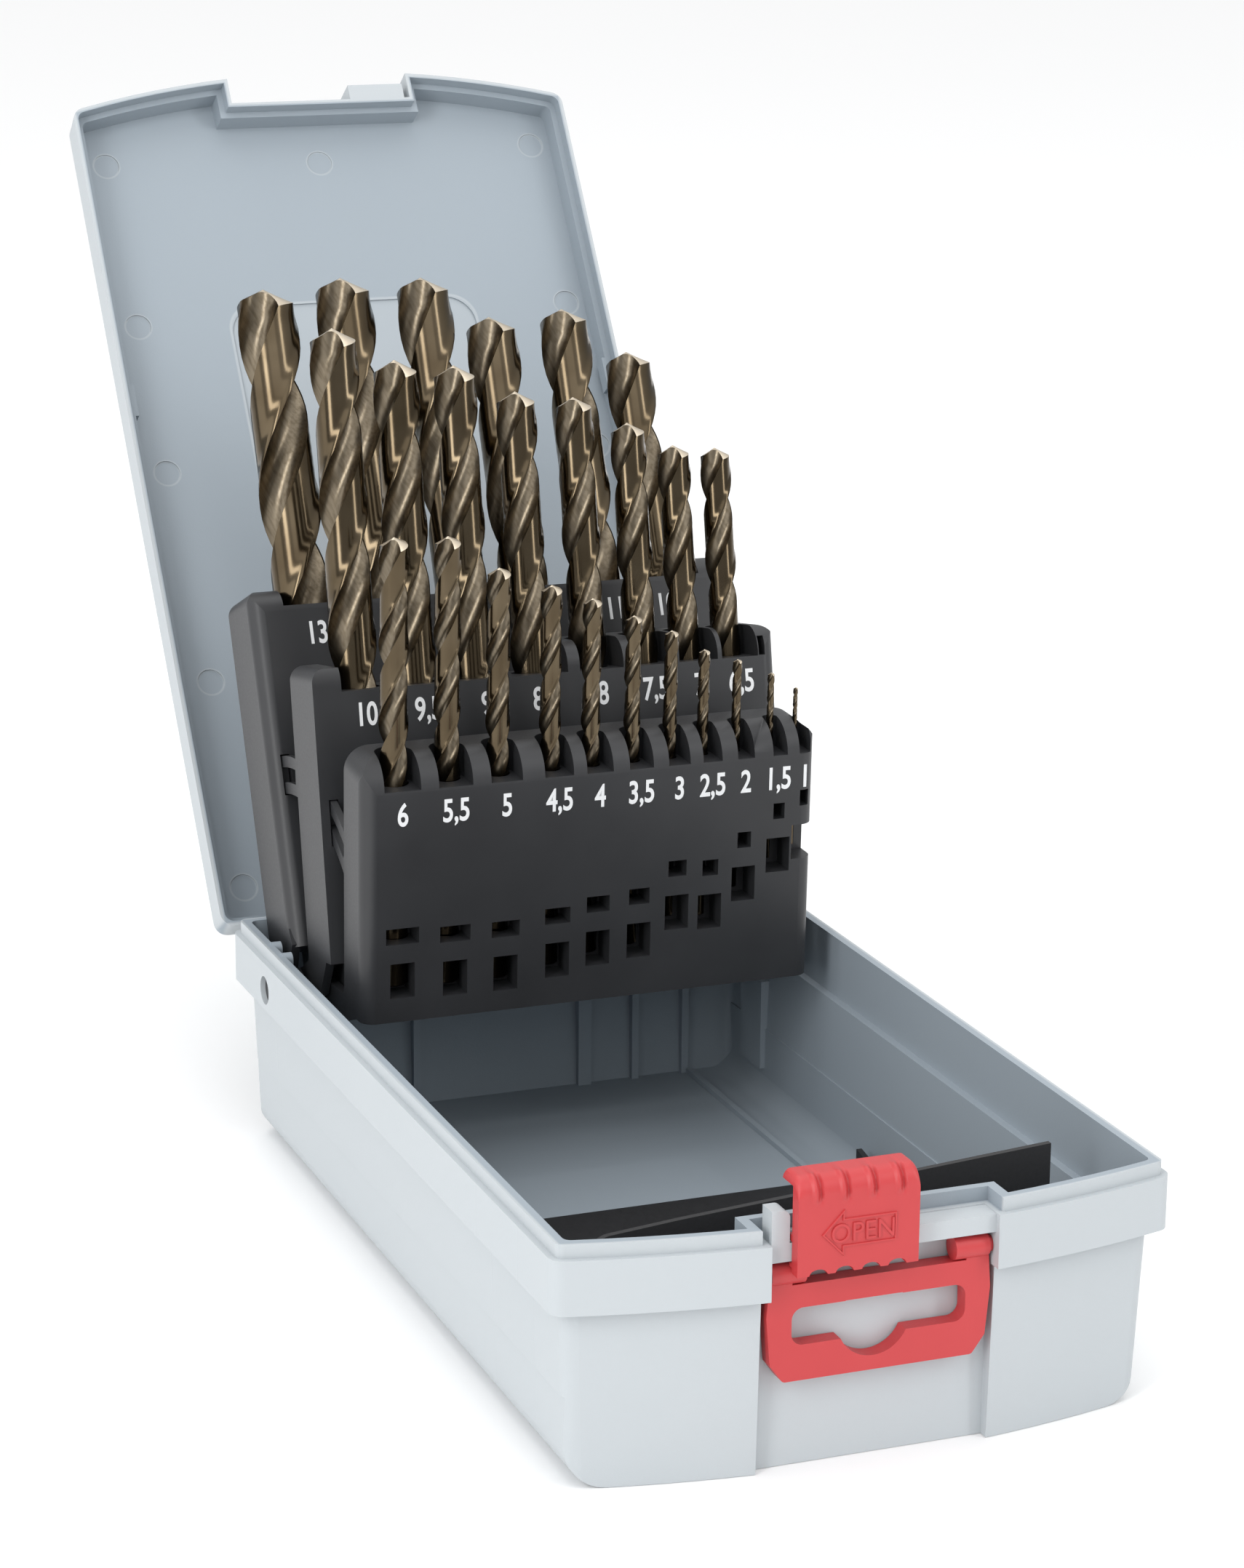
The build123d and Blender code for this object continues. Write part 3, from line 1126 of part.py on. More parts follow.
front_face = (
    (-FRONT_HALF, FRONT_BOTTOM),
    (FRONT_HALF, FRONT_BOTTOM),
    (FRONT_HALF, FRONT_TOP),
    (-FRONT_HALF, FRONT_TOP),
)
with BuildPart() as front_upright:
    add(
        rounded_block(
            front_face,
            FRONT_CORNER_RADIUS,
            FRONT_FACE_Y,
            FRONT_BACK_Y,
            FRONT_TOP_ROUND,
        )
    )
    side_plates(ear_profile(FRONT_EAR), FRONT_HALF - EAR_THICK, FRONT_HALF)
    side_plates(
        link_plate(FRONT_LINK_RADII, FRONT_LINK_DEG),
        FRONT_LINK_X,
        FRONT_LINK_X + LINK_THICK,
    )
    front_slots(front_drills, FRONT_FACE_Y, FRONT_CENTRE_Y, FRONT_SLOT_FLOOR, FRONT_TOP)
    drill_bores(front_drills, FRONT_CENTRE_Y, FRONT_TOP)
    for diameter, _, _, x, seat in front_drills:
        upper_half = diameter / 2 + UPPER_WINDOW_SPARE
        span_box(
            (x - upper_half, x + upper_half),
            (FRONT_FACE_Y - OVERLAP, FRONT_CENTRE_Y),
            (seat + UPPER_WINDOW[0], seat + UPPER_WINDOW[1]),
            Mode.SUBTRACT,
        )
        span_box(
            (x - lower_window_half, x + lower_window_half),
            (FRONT_FACE_Y - OVERLAP, FRONT_CENTRE_Y),
            (seat + LOWER_WINDOW[0], seat + LOWER_WINDOW[1]),
            Mode.SUBTRACT,
        )

middle_face = (
    (-CORE_HALF, MIDDLE_BOTTOM),
    (CORE_HALF, MIDDLE_BOTTOM),
    (CORE_HALF, MIDDLE_CHEEK_BOTTOM),
    (MIDDLE_HALF, MIDDLE_CHEEK_BOTTOM),
    (MIDDLE_HALF, MIDDLE_RIGHT_TOP),
    (middle_step_x, MIDDLE_RIGHT_TOP),
    (middle_step_x, MIDDLE_SHELF),
    (-middle_pillar_x, MIDDLE_SHELF),
    (-middle_pillar_x, MIDDLE_LEFT_TOP),
    (-MIDDLE_HALF, MIDDLE_LEFT_TOP),
    (-MIDDLE_HALF, MIDDLE_CHEEK_BOTTOM),
    (-CORE_HALF, MIDDLE_CHEEK_BOTTOM),
)
with BuildPart() as middle_upright:
    add(
        rounded_block(
            middle_face,
            CHEEK_CORNER_RADIUS,
            MIDDLE_FACE_Y,
            MIDDLE_BACK_Y,
            SHELF_TOP_ROUND,
        )
    )
    side_plates(ear_profile(MIDDLE_EAR), MIDDLE_HALF - EAR_THICK, MIDDLE_HALF)
    side_plates(
        link_plate(MIDDLE_LINK_RADII, MIDDLE_LINK_DEG),
        MIDDLE_LINK_X,
        MIDDLE_LINK_X + LINK_THICK,
    )
    side_plates(
        link_slit(FRONT_LINK_RADII, FRONT_LINK_DEG),
        FRONT_LINK_X - LINK_GAP,
        FRONT_LINK_X + LINK_THICK + LINK_GAP,
        Mode.SUBTRACT,
    )
    front_slots(
        middle_drills[MIDDLE_LOW_DRILLS:],
        MIDDLE_FACE_Y,
        MIDDLE_CENTRE_Y,
        MIDDLE_SHELF,
        MIDDLE_RIGHT_TOP,
    )
    drill_bores(middle_drills, MIDDLE_CENTRE_Y, MIDDLE_RIGHT_TOP)
    # narrow slot through the right end
    span_box(
        (through_slot_x, through_slot_x + THROUGH_SLOT_WIDTH),
        (MIDDLE_FACE_Y - OVERLAP, MIDDLE_BACK_Y + OVERLAP),
        (through_slot_z, through_slot_z + THROUGH_SLOT_HEIGHT),
        Mode.SUBTRACT,
    )

rear_face = (
    (-CORE_HALF, REAR_BOTTOM),
    (CORE_HALF, REAR_BOTTOM),
    (CORE_HALF, REAR_CHEEK_BOTTOM),
    (REAR_HALF, REAR_CHEEK_BOTTOM),
    (REAR_HALF, REAR_TOP),
    (REAR_HALF - REAR_RIGHT_PILLAR, REAR_TOP),
    (REAR_HALF - REAR_RIGHT_PILLAR, REAR_SHELF),
    (REAR_LEFT_PILLAR - REAR_HALF, REAR_SHELF),
    (REAR_LEFT_PILLAR - REAR_HALF, REAR_TOP),
    (-REAR_HALF, REAR_TOP),
    (-REAR_HALF, REAR_CHEEK_BOTTOM),
    (-CORE_HALF, REAR_CHEEK_BOTTOM),
)
with BuildPart() as rear_upright:
    add(
        rounded_block(
            rear_face,
            CHEEK_CORNER_RADIUS,
            REAR_FACE_Y,
            REAR_BACK_Y,
            SHELF_TOP_ROUND,
        )
    )
    side_plates(ear_profile(REAR_EAR), REAR_HALF - EAR_THICK, REAR_HALF)
    side_plates(
        link_slit(MIDDLE_LINK_RADII, MIDDLE_LINK_DEG),
        MIDDLE_LINK_X - LINK_GAP,
        MIDDLE_LINK_X + LINK_THICK + LINK_GAP,
        Mode.SUBTRACT,
    )
    drill_bores(rear_drills, REAR_CENTRE_Y, REAR_TOP)

front_place = rack_plane(FRONT_LEAN).location
middle_place = rack_plane(MIDDLE_LEAN).location
rear_place = rack_plane(REAR_LEAN).location
front_standing = front_place * front_upright.part
middle_standing = middle_place * middle_upright.part
rear_standing = rear_place * rear_upright.part

with BuildPart() as rack_front:
    add(front_standing)
with BuildPart() as rack_middle:
    add(middle_standing)
with BuildPart() as rack_rear:
    add(rear_standing)

rack_front.part.label = "rack_front"
rack_middle.part.label = "rack_middle"
rack_rear.part.label = "rack_rear"
export_step(rack_front.part, "parts/rack_front.step")
export_step(rack_middle.part, "parts/rack_middle.step")
export_step(rack_rear.part, "parts/rack_rear.step")


# ======== twist drills ===================================================
def twist_drill(diameter, length, flute_length):
    """Drill with a plain shank; its origin is the centre of the shank end."""
    radius = diameter / 2
    shank = length - flute_length
    point = radius / math.tan(math.radians(POINT_DEG / 2))
    twist = Edge.make_helix(HELIX_PER_DIAMETER * diameter, flute_length, radius)
    with BuildPart() as fluted:
        with BuildLine():
            Line((0, 0, 0), (0, 0, flute_length))
        with BuildSketch():
            Circle(radius)
            with PolarLocations(FLUTE_OFFSET * radius, 2, start_angle=DRILL_CLOCK_DEG):
                Circle(FLUTE_RADIUS * radius, mode=Mode.SUBTRACT)
        sweep(binormal=twist)
        with BuildSketch(Plane.XZ):
            with BuildLine():
                Polyline(
                    (0, flute_length),
                    (2 * radius, flute_length - 2 * point),
                    (2 * radius, flute_length + OVERLAP),
                    (0, flute_length + OVERLAP),
                    close=True,
                )
            make_face()
        revolve(axis=Axis.Z, mode=Mode.SUBTRACT)
        with Locations((0, 0, -shank)):
            Cylinder(radius, shank, align=(Align.CENTER, Align.CENTER, Align.MIN))
        chamfer(fluted.edges().group_by(Axis.Z)[0], SHANK_CHAMFER_SHARE * diameter)
    return Pos(0, 0, shank) * fluted.part


for drills, centre_y, place in (
    (front_drills, FRONT_CENTRE_Y, front_place),
    (middle_drills, MIDDLE_CENTRE_Y, middle_place),
    (rear_drills, REAR_CENTRE_Y, rear_place),
):
    for diameter, length, flute_length, x, seat in drills:
        upright_drill = twist_drill(diameter, length, flute_length)
        standing_drill = place * Pos(x, centre_y, seat) * upright_drill
        with BuildPart() as drill:
            add(standing_drill)
        name = "drill_" + str(diameter).replace(".0", "").replace(".", "_")
        drill.part.label = name
        export_step(drill.part, "parts/" + name + ".step")
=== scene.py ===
"""An open drill bit case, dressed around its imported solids.

Each sub-assembly is a class that builds its own meshes and finishes.
Lengths are in metres, except in the classes that say millimetres.
"""

import logging
import math
from dataclasses import dataclass
from enum import Enum, IntEnum
from typing import Iterable, Sequence

import bpy
from mathutils import Matrix, Vector


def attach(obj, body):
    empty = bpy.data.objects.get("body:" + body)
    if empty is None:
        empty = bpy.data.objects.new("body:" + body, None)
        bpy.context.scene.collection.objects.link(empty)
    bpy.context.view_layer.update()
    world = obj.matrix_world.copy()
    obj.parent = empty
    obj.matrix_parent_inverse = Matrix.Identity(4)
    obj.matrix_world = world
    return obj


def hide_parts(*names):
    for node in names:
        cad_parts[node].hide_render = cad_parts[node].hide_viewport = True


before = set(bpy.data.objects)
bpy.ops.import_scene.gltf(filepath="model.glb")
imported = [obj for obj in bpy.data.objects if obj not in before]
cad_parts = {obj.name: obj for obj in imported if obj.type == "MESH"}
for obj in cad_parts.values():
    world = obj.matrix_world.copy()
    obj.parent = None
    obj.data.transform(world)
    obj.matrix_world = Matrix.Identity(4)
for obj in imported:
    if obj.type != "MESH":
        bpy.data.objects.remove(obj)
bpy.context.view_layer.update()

LOG = logging.getLogger("drill_case")
MM = 0.001
CAPITAL_SHARE = 0.70

Colour = tuple[float, float, float]
Place = tuple[float, float, float]
Outline = Sequence[tuple[float, float]]


# ---------------------------------------------------------------- shaders
class Signal:
    """A node socket that can be used in a Python expression."""

    def __init__(self, graph: "Graph", socket: bpy.types.NodeSocket) -> None:
        """Wrap one output socket.

        Args:
            graph: The node graph that owns the socket.
            socket: The output socket.
        """
        self.graph = graph
        self.socket = socket

    def __add__(self, other: "Operand") -> "Signal":
        """Sum."""
        return self.graph.maths("ADD", self, other)

    def __radd__(self, other: "Operand") -> "Signal":
        """Sum, with this value on the right."""
        return self.graph.maths("ADD", other, self)

    def __sub__(self, other: "Operand") -> "Signal":
        """Difference."""
        return self.graph.maths("SUBTRACT", self, other)

    def __rsub__(self, other: "Operand") -> "Signal":
        """Difference, with this value on the right."""
        return self.graph.maths("SUBTRACT", other, self)

    def __mul__(self, other: "Operand") -> "Signal":
        """Product."""
        return self.graph.maths("MULTIPLY", self, other)

    def __rmul__(self, other: "Operand") -> "Signal":
        """Product, with this value on the right."""
        return self.graph.maths("MULTIPLY", other, self)

    def __pow__(self, other: "Operand") -> "Signal":
        """Power."""
        return self.graph.maths("POWER", self, other)

    def __abs__(self) -> "Signal":
        """Absolute value."""
        return self.graph.maths("ABSOLUTE", self)

    def above(self, limit: float, softness: float) -> "Signal":
        """Mask that rises from 0 to 1 where the value passes a limit.

        Args:
            limit: The value at the middle of the step.
            softness: Half the width of the step.

        Returns:
            The mask, from 0 to 1.
        """
        node = self.graph.node(
            "ShaderNodeMapRange",
            {"interpolation_type": "SMOOTHSTEP", "clamp": True},
            {"Value": self, "From Min": limit - softness, "From Max": limit + softness},
        )
        return self.graph.out(node, "Result")


Operand = Signal | float


@dataclass(frozen=True)
class Pattern:
    """A noise pattern: cells per metre, finer layers, their strength and its stretch."""

    scale: float
    detail: float = 2.0
    roughness: float = 0.5
    stretch: Place | None = None


@dataclass(frozen=True)
class Relief:
    """Depth of a bump in metres, and its strength."""

    depth: float
    strength: float


class Graph:
    """Builder for the nodes of one material or world."""

    def __init__(self, tree: bpy.types.NodeTree) -> None:
        """Start from an empty tree.

        Args:
            tree: The tree to fill.
        """
        self.tree = tree
        tree.nodes.clear()

    def node(self, kind: str, settings: dict | None = None, inputs: dict | None = None) -> bpy.types.Node:
        """Add a node, set its options and then its inputs.

        Args:
            kind: The node's type name.
            settings: Options such as a Math operation or a ramp's stops.
            inputs: Values or signals by socket name or index.

        Returns:
            The new node.
        """
        made = self.tree.nodes.new(kind)
        for name, value in (settings or {}).items():
            if name == "stops":
                self._set_stops(made, value)
            else:
                setattr(made, name, value)
        for key, value in (inputs or {}).items():
            target = made.inputs[key]
            if isinstance(value, Signal):
                self.tree.links.new(value.socket, target)
            else:
                target.default_value = value
        return made

    @staticmethod
    def _set_stops(ramp: bpy.types.Node, stops: Sequence[tuple[float, Colour]]) -> None:
        """Give a colour ramp its stops."""
        elements = ramp.color_ramp.elements
        while len(elements) < len(stops):
            elements.new(0.5)
        for element, (place, colour) in zip(elements, stops):
            element.position = place
            element.color = (*colour, 1.0)

    def out(self, node: bpy.types.Node, name: str | int) -> Signal:
        """One output of a node, ready for an expression."""
        return Signal(self, node.outputs[name])

    def maths(self, operation: str, first: Operand, second: Operand | None = None) -> Signal:
        """Apply one Math operation.

        Args:
            operation: The Math node's operation.
            first: The first operand.
            second: The second operand, if the operation has one.

        Returns:
            The result.
        """
        inputs: dict = {0: first}
        if second is not None:
            inputs[1] = second
        return self.out(self.node("ShaderNodeMath", {"operation": operation}, inputs), 0)

    def blend(self, mask: Operand, low: "Colour | Signal", high: "Colour | Signal") -> Signal:
        """Mix two colours by a mask.

        Args:
            mask: 0 for the low colour, 1 for the high one.
            low: Colour where the mask is 0.
            high: Colour where the mask is 1.

        Returns:
            The mixed colour.
        """
        low_value = low if isinstance(low, Signal) else (*low, 1.0)
        high_value = high if isinstance(high, Signal) else (*high, 1.0)
        node = self.node(
            "ShaderNodeMix",
            {"data_type": "RGBA"},
            {"Factor": mask, 6: low_value, 7: high_value},
        )
        return self.out(node, 2)

    def place(self) -> Signal:
        """Position on the piece, in metres, fixed to the piece."""
        return self.out(self.node("ShaderNodeTexCoord"), "Object")

    def axes(self, vector: Signal) -> tuple[Signal, Signal, Signal]:
        """The three components of a vector."""
        node = self.node("ShaderNodeSeparateXYZ", None, {0: vector})
        return self.out(node, 0), self.out(node, 1), self.out(node, 2)

    def noise(self, vector: Signal, pattern: Pattern) -> Signal:
        """Noise value around one half.

        Args:
            vector: Where to read the noise.
            pattern: The pattern's scale, layers and stretch.

        Returns:
            The noise value.
        """
        if pattern.stretch is not None:
            mapping = self.node("ShaderNodeMapping", None, {"Vector": vector, "Scale": pattern.stretch})
            vector = self.out(mapping, 0)
        node = self.node(
            "ShaderNodeTexNoise",
            None,
            {
                "Vector": vector,
                "Scale": pattern.scale,
                "Detail": pattern.detail,
                "Roughness": pattern.roughness,
            },
        )
        return self.out(node, "Fac")

    def turned(self, vector: Signal, degrees: Sequence[float]) -> Signal:
        """A vector turned about the three axes."""
        angles = tuple(math.radians(angle) for angle in degrees)
        node = self.node("ShaderNodeMapping", None, {"Vector": vector, "Rotation": angles})
        return self.out(node, 0)

    def bump(self, height: Signal, relief: Relief) -> Signal:
        """Normal from a height.

        Args:
            height: Height from 0 to 1.
            relief: Depth of a height of 1, and the bump's strength.

        Returns:
            The bent normal.
        """
        node = self.node(
            "ShaderNodeBump",
            None,
            {"Height": height, "Distance": relief.depth, "Strength": relief.strength},
        )
        return self.out(node, "Normal")

    def surface(self, **inputs: "Operand | Colour") -> None:
        """Finish the material with a Principled surface.

        Args:
            inputs: Values by socket name, with spaces written as underscores.
        """
        values = {}
        for name, value in inputs.items():
            socket = name.replace("_", " ")
            if isinstance(value, tuple) and len(value) == 3:
                value = (*value, 1.0)
            values[socket] = value
        shader = self.node("ShaderNodeBsdfPrincipled", None, values)
        output = self.node("ShaderNodeOutputMaterial")
        self.tree.links.new(shader.outputs[0], output.inputs["Surface"])


def new_graph(name: str) -> tuple[bpy.types.Material, Graph]:
    """Make an empty node material.

    Args:
        name: The material's name.

    Returns:
        The material and the builder for its nodes.
    """
    material = bpy.data.materials.new(name)
    material.use_nodes = True
    return material, Graph(material.node_tree)


class Shell(Enum):
    """The two halves of the case."""

    TRAY = "tray"
    LID = "lid"


@dataclass(frozen=True)
class CasePlastic:
    """Fine-grained satin plastic of the tray and the lid, darkened on the inner faces by painted shade;
    lengths in metres.
    """

    name: str = "case_grey"
    outside: Colour = (0.450, 0.481, 0.500)
    # inner faces: darker and bluer than the outside, partly the plastic's own tone and mostly painted
    # shade
    inside: Colour = (0.290, 0.334, 0.373)
    cloud_tone: Colour = (0.30, 0.34, 0.38)
    grain: Pattern = Pattern(2600.0, 3.0, 0.6)
    cloud: Pattern = Pattern(22.0)
    cloud_share: float = 0.14
    roughness: float = 0.44
    grain_sheen: float = 0.10
    inside_sheen: float = 0.05
    relief: Relief = Relief(0.0001, 0.35)
    grain_height: float = 0.5
    groove_height: float = 0.5
    soft: float = 0.0003
    crisp: float = 0.0002
    tray_floor: float = 0.0012
    tray_half: float = 0.0544
    tray_front: float = -0.0977
    tray_rear: float = 0.0977
    tray_draft: float = 0.035
    tray_step: float = 0.0017
    band_foot: float = 0.0338
    tray_notch_half: float = 0.0226
    tray_notch: float = -0.0945
    lid_half: float = 0.0588
    lid_front: float = -0.1020
    lid_rear: float = 0.1022
    lid_inner: float = 0.0530
    bow_curve: float = 2.22
    notch_half: float = 0.0224
    notch_front: float = -0.0948
    hinge_y: float = 0.10608
    hinge_z: float = 0.04176
    lid_open_deg: float = 125.0
    field_half: float = 0.0295
    field_span: tuple[float, float] = (-0.0472, 0.0620)
    field_round: float = 0.0060
    field_edge: float = 0.0006
    field_calm: float = 0.8
    field_tone: float = 0.30
    field_gloss: float = 0.12
    line_tone: float = 0.55
    mark_places: tuple[tuple[float, float], ...] = (
        (-0.0518, -0.0845),
        (-0.0008, -0.0832),
        (0.0523, -0.0857),
        (-0.0513, -0.0435),
        (0.0527, -0.044),
        (-0.0509, -0.007),
        (0.0527, -0.007),
        (-0.0498, 0.0438),
        (0.052, 0.0438),
        (-0.051, 0.09201),
    )
    mark_radius: float = 0.0030
    mark_line: float = 0.00022
    step_places: tuple[float, ...] = (-0.0772, -0.0552, 0.0808)
    step_half: float = 0.0003

    def closed_place(self, graph: Graph) -> tuple[Signal, Signal, Signal]:
        """Place on the lid as it lies when the case is shut.

        Args:
            graph: The material's nodes.

        Returns:
            The place across, along and up.
        """
        x, y, z = graph.axes(graph.place())
        turn = math.radians(self.lid_open_deg)
        back = y - self.hinge_y
        up = z - self.hinge_z
        along = self.hinge_y + back * math.cos(turn) - up * math.sin(turn)
        height = self.hinge_z + back * math.sin(turn) + up * math.cos(turn)
        return x, along, height

    def tray_inside(self, x: Signal, y: Signal, z: Signal) -> Signal:
        """Mask of the tray's inner faces, which take the painted shade.

        Args:
            x: Place across the tray.
            y: Place along the tray.
            z: Height above its underside.

        Returns:
            1 inside the walls' outline at that height, 0 outside it.
        """
        flare = z * self.tray_draft + self.tray_step * z.above(self.band_foot, self.soft)
        narrow = 1.0 - (abs(x) - flare).above(self.tray_half, self.soft)
        back = 1.0 - (y - flare).above(self.tray_rear, self.soft)
        bowed = (y + flare - self.bow_curve * x * x).above(self.tray_front, self.soft)
        notch = 1.0 - abs(x).above(self.tray_notch_half, self.soft)
        kept = 1.0 - notch * (1.0 - y.above(self.tray_notch, self.soft))
        return narrow * back * bowed * kept * z.above(self.tray_floor, self.crisp)

    def lid_inside(self, x: Signal, y: Signal, low: Signal) -> Signal:
        """Mask of the lid's inner faces, which take the painted shade.

        Args:
            x: Place across the shut lid.
            y: Place along the shut lid.
            low: Mask of what lies below the lid's inner panel.

        Returns:
            1 inside the lid's outline and below its panel, 0 elsewhere.
        """
        narrow = 1.0 - abs(x).above(self.lid_half, self.soft)
        bowed = (y - self.bow_curve * x * x).above(self.lid_front, self.soft)
        back = 1.0 - y.above(self.lid_rear, self.soft)
        beside = 1.0 - abs(x).above(self.notch_half, self.crisp)
        notch = beside * (1.0 - y.above(self.notch_front, self.crisp))
        return narrow * bowed * back * (1.0 - notch) * low

    def field_reach(self, graph: Graph, x: Signal, y: Signal) -> Signal:
        """How far a place lies from the straight-sided core of the rounded field.

        Args:
            graph: The material's nodes.
            x: Place across the shut lid.
            y: Place along the shut lid.

        Returns:
            The distance, which is field_round on the field's edge.
        """
        middle = (self.field_span[0] + self.field_span[1]) / 2
        straight = (self.field_span[1] - self.field_span[0]) / 2 - self.field_round
        over = graph.maths("MAXIMUM", abs(x) - (self.field_half - self.field_round), 0.0)
        past = graph.maths("MAXIMUM", abs(y - middle) - straight, 0.0)
        return graph.maths("SQRT", over**2.0 + past**2.0)

    def tones_with_painted_shade(self, graph: Graph, inside: Signal, grain: Signal) -> tuple[Signal, Signal]:
        """Colour and roughness of a bare half of the case, with painted shade on its inner faces.

        Args:
            graph: The material's nodes.
            inside: Mask of the inner faces, which get the painted shade.
            grain: The fine grain.

        Returns:
            The colour and the roughness.
        """
        cloud = graph.noise(graph.place(), self.cloud)
        # the inner faces get the darker colour: partly the plastic's own tone, mostly painted shade
        tone = graph.blend(inside, self.outside, self.inside)
        shade = graph.blend(cloud * self.cloud_share, tone, self.cloud_tone)
        return shade, self.roughness + self.grain_sheen * grain + self.inside_sheen * inside

    def dress_tray(self, graph: Graph, grain: Signal) -> None:
        """Finish the tray's material.

        Args:
            graph: The material's nodes.
            grain: The fine grain.
        """
        x, y, z = graph.axes(graph.place())
        inside = self.tray_inside(x, y, z)
        shade, sheen = self.tones_with_painted_shade(graph, inside, grain)
        grooves = [1.0 - abs(y - step).above(self.step_half, self.crisp) for step in self.step_places]
        outer = self.groove_height * sum(grooves[1:], grooves[0]) * (1.0 - inside)
        normal = graph.bump(self.grain_height * grain + outer, self.relief)
        graph.surface(Base_Color=shade, Roughness=sheen, Normal=normal)

    def dress_lid(self, graph: Graph, grain: Signal) -> None:
        """Finish the lid's material.

        Args:
            graph: The material's nodes.
            grain: The fine grain.
        """
        x, y, z = self.closed_place(graph)
        low = 1.0 - z.above(self.lid_inner, self.crisp)
        inside = self.lid_inside(x, y, low)
        reach = self.field_reach(graph, x, y)
        field = 1.0 - reach.above(self.field_round, self.crisp)
        wide = 1.0 - reach.above(self.field_round + self.field_edge, self.crisp)
        smooth = field * low
        lines = (wide - field) * low
        for across, along in self.mark_places:
            away = graph.maths("SQRT", (x - across) ** 2.0 + (y - along) ** 2.0)
            ring = 1.0 - abs(away - self.mark_radius).above(self.mark_line, self.crisp)
            lines = lines + ring * inside
        shade, sheen = self.tones_with_painted_shade(graph, inside, grain)
        shade = graph.blend(smooth * self.field_tone, shade, self.outside)
        shade = graph.blend(lines * self.line_tone, shade, self.outside)
        sheen = sheen - self.field_gloss * smooth
        height = self.grain_height * grain * (1.0 - self.field_calm * smooth)
        graph.surface(Base_Color=shade, Roughness=sheen, Normal=graph.bump(height, self.relief))

    def material(self, shell: Shell) -> bpy.types.Material:
        """Build the material.

        Args:
            shell: The half of the case that it is for.

        Returns:
            The material.
        """
        material, graph = new_graph(self.name + "_" + shell.value)
        grain = graph.noise(graph.place(), self.grain)
        if shell is Shell.TRAY:
            self.dress_tray(graph, grain)
        else:
            self.dress_lid(graph, grain)
        return material


@dataclass(frozen=True)
class RedPlastic:
    """Satin red plastic of the latch and the handle."""

    name: str = "signal_red"
    colour: Colour = (0.50, 0.040, 0.044)
    shade: Colour = (0.40, 0.026, 0.030)
    shade_share: float = 0.5
    roughness: float = 0.36
    grain_sheen: float = 0.12
    grain: Pattern = Pattern(3200.0, 2.0, 0.55)
    cloud: Pattern = Pattern(90.0)
    relief: Relief = Relief(0.00004, 0.25)

    def material(self) -> bpy.types.Material:
        """Build the material."""
        material, graph = new_graph(self.name)
        grain = graph.noise(graph.place(), self.grain)
        cloud = graph.noise(graph.place(), self.cloud)
        graph.surface(
            Base_Color=graph.blend(cloud * self.shade_share, self.colour, self.shade),
            Roughness=self.roughness + self.grain_sheen * grain,
            Normal=graph.bump(grain, self.relief),
        )
        return material


@dataclass(frozen=True)
class RackPlastic:
    """Black satin plastic of the three racks."""

    name: str = "rack_black"
    colour: Colour = (0.012, 0.0125, 0.014)
    worn: Colour = (0.030, 0.031, 0.034)
    roughness: float = 0.33
    grain_sheen: float = 0.14
    worn_sheen: float = 0.05
    grain: Pattern = Pattern(2200.0, 3.0, 0.6)
    cloud: Pattern = Pattern(45.0, 3.0)
    relief: Relief = Relief(0.00004, 0.22)

    def material(self) -> bpy.types.Material:
        """Build the material."""
        material, graph = new_graph(self.name)
        grain = graph.noise(graph.place(), self.grain)
        cloud = graph.noise(graph.place(), self.cloud)
        graph.surface(
            Base_Color=graph.blend(cloud, self.colour, self.worn),
            Roughness=self.roughness + self.grain_sheen * grain + self.worn_sheen * cloud,
            Normal=graph.bump(grain, self.relief),
        )
        return material


@dataclass(frozen=True)
class LinerSheet:
    """Matt black sheet in the front of the tray."""

    name: str = "liner_black"
    colour: Colour = (0.010, 0.010, 0.011)
    dust: Colour = (0.022, 0.022, 0.024)
    roughness: float = 0.50
    fibre_sheen: float = 0.15
    fibre: Pattern = Pattern(1800.0, stretch=(1.0, 0.25, 1.0))
    relief: Relief = Relief(0.00004, 0.3)

    def material(self) -> bpy.types.Material:
        """Build the material."""
        material, graph = new_graph(self.name)
        fibre = graph.noise(graph.place(), self.fibre)
        graph.surface(
            Base_Color=graph.blend(fibre, self.colour, self.dust),
            Roughness=self.roughness + self.fibre_sheen * fibre,
            Normal=graph.bump(fibre, self.relief),
        )
        return material


@dataclass(frozen=True)
class PinMetal:
    """Plain bright pin."""

    name: str = "pin_metal"
    colour: Colour = (0.55, 0.56, 0.57)
    groove: Colour = (0.42, 0.43, 0.44)
    roughness: float = 0.24
    turning_sheen: float = 0.12
    turning: Pattern = Pattern(900.0, stretch=(8.0, 1.0, 1.0))
    relief: Relief = Relief(0.00002, 0.2)

    def material(self) -> bpy.types.Material:
        """Build the material."""
        material, graph = new_graph(self.name)
        turning = graph.noise(graph.place(), self.turning)
        graph.surface(
            Base_Color=graph.blend(turning, self.colour, self.groove),
            Metallic=1.0,
            Roughness=self.roughness + self.turning_sheen * turning,
            Normal=graph.bump(turning, self.relief),
        )
        return material


@dataclass(frozen=True)
class PrintedWhite:
    """White print of the size numbers."""

    name: str = "number_white"
    colour: Colour = (0.80, 0.81, 0.82)
    thin: Colour = (0.55, 0.56, 0.57)
    thin_share: float = 0.3
    roughness: float = 0.48
    speck_sheen: float = 0.10
    speck: Pattern = Pattern(5200.0)

    def material(self) -> bpy.types.Material:
        """Build the material."""
        material, graph = new_graph(self.name)
        speck = graph.noise(graph.place(), self.speck)
        graph.surface(
            Base_Color=graph.blend(speck * self.thin_share, self.colour, self.thin),
            Roughness=self.roughness + self.speck_sheen * speck,
        )
        return material


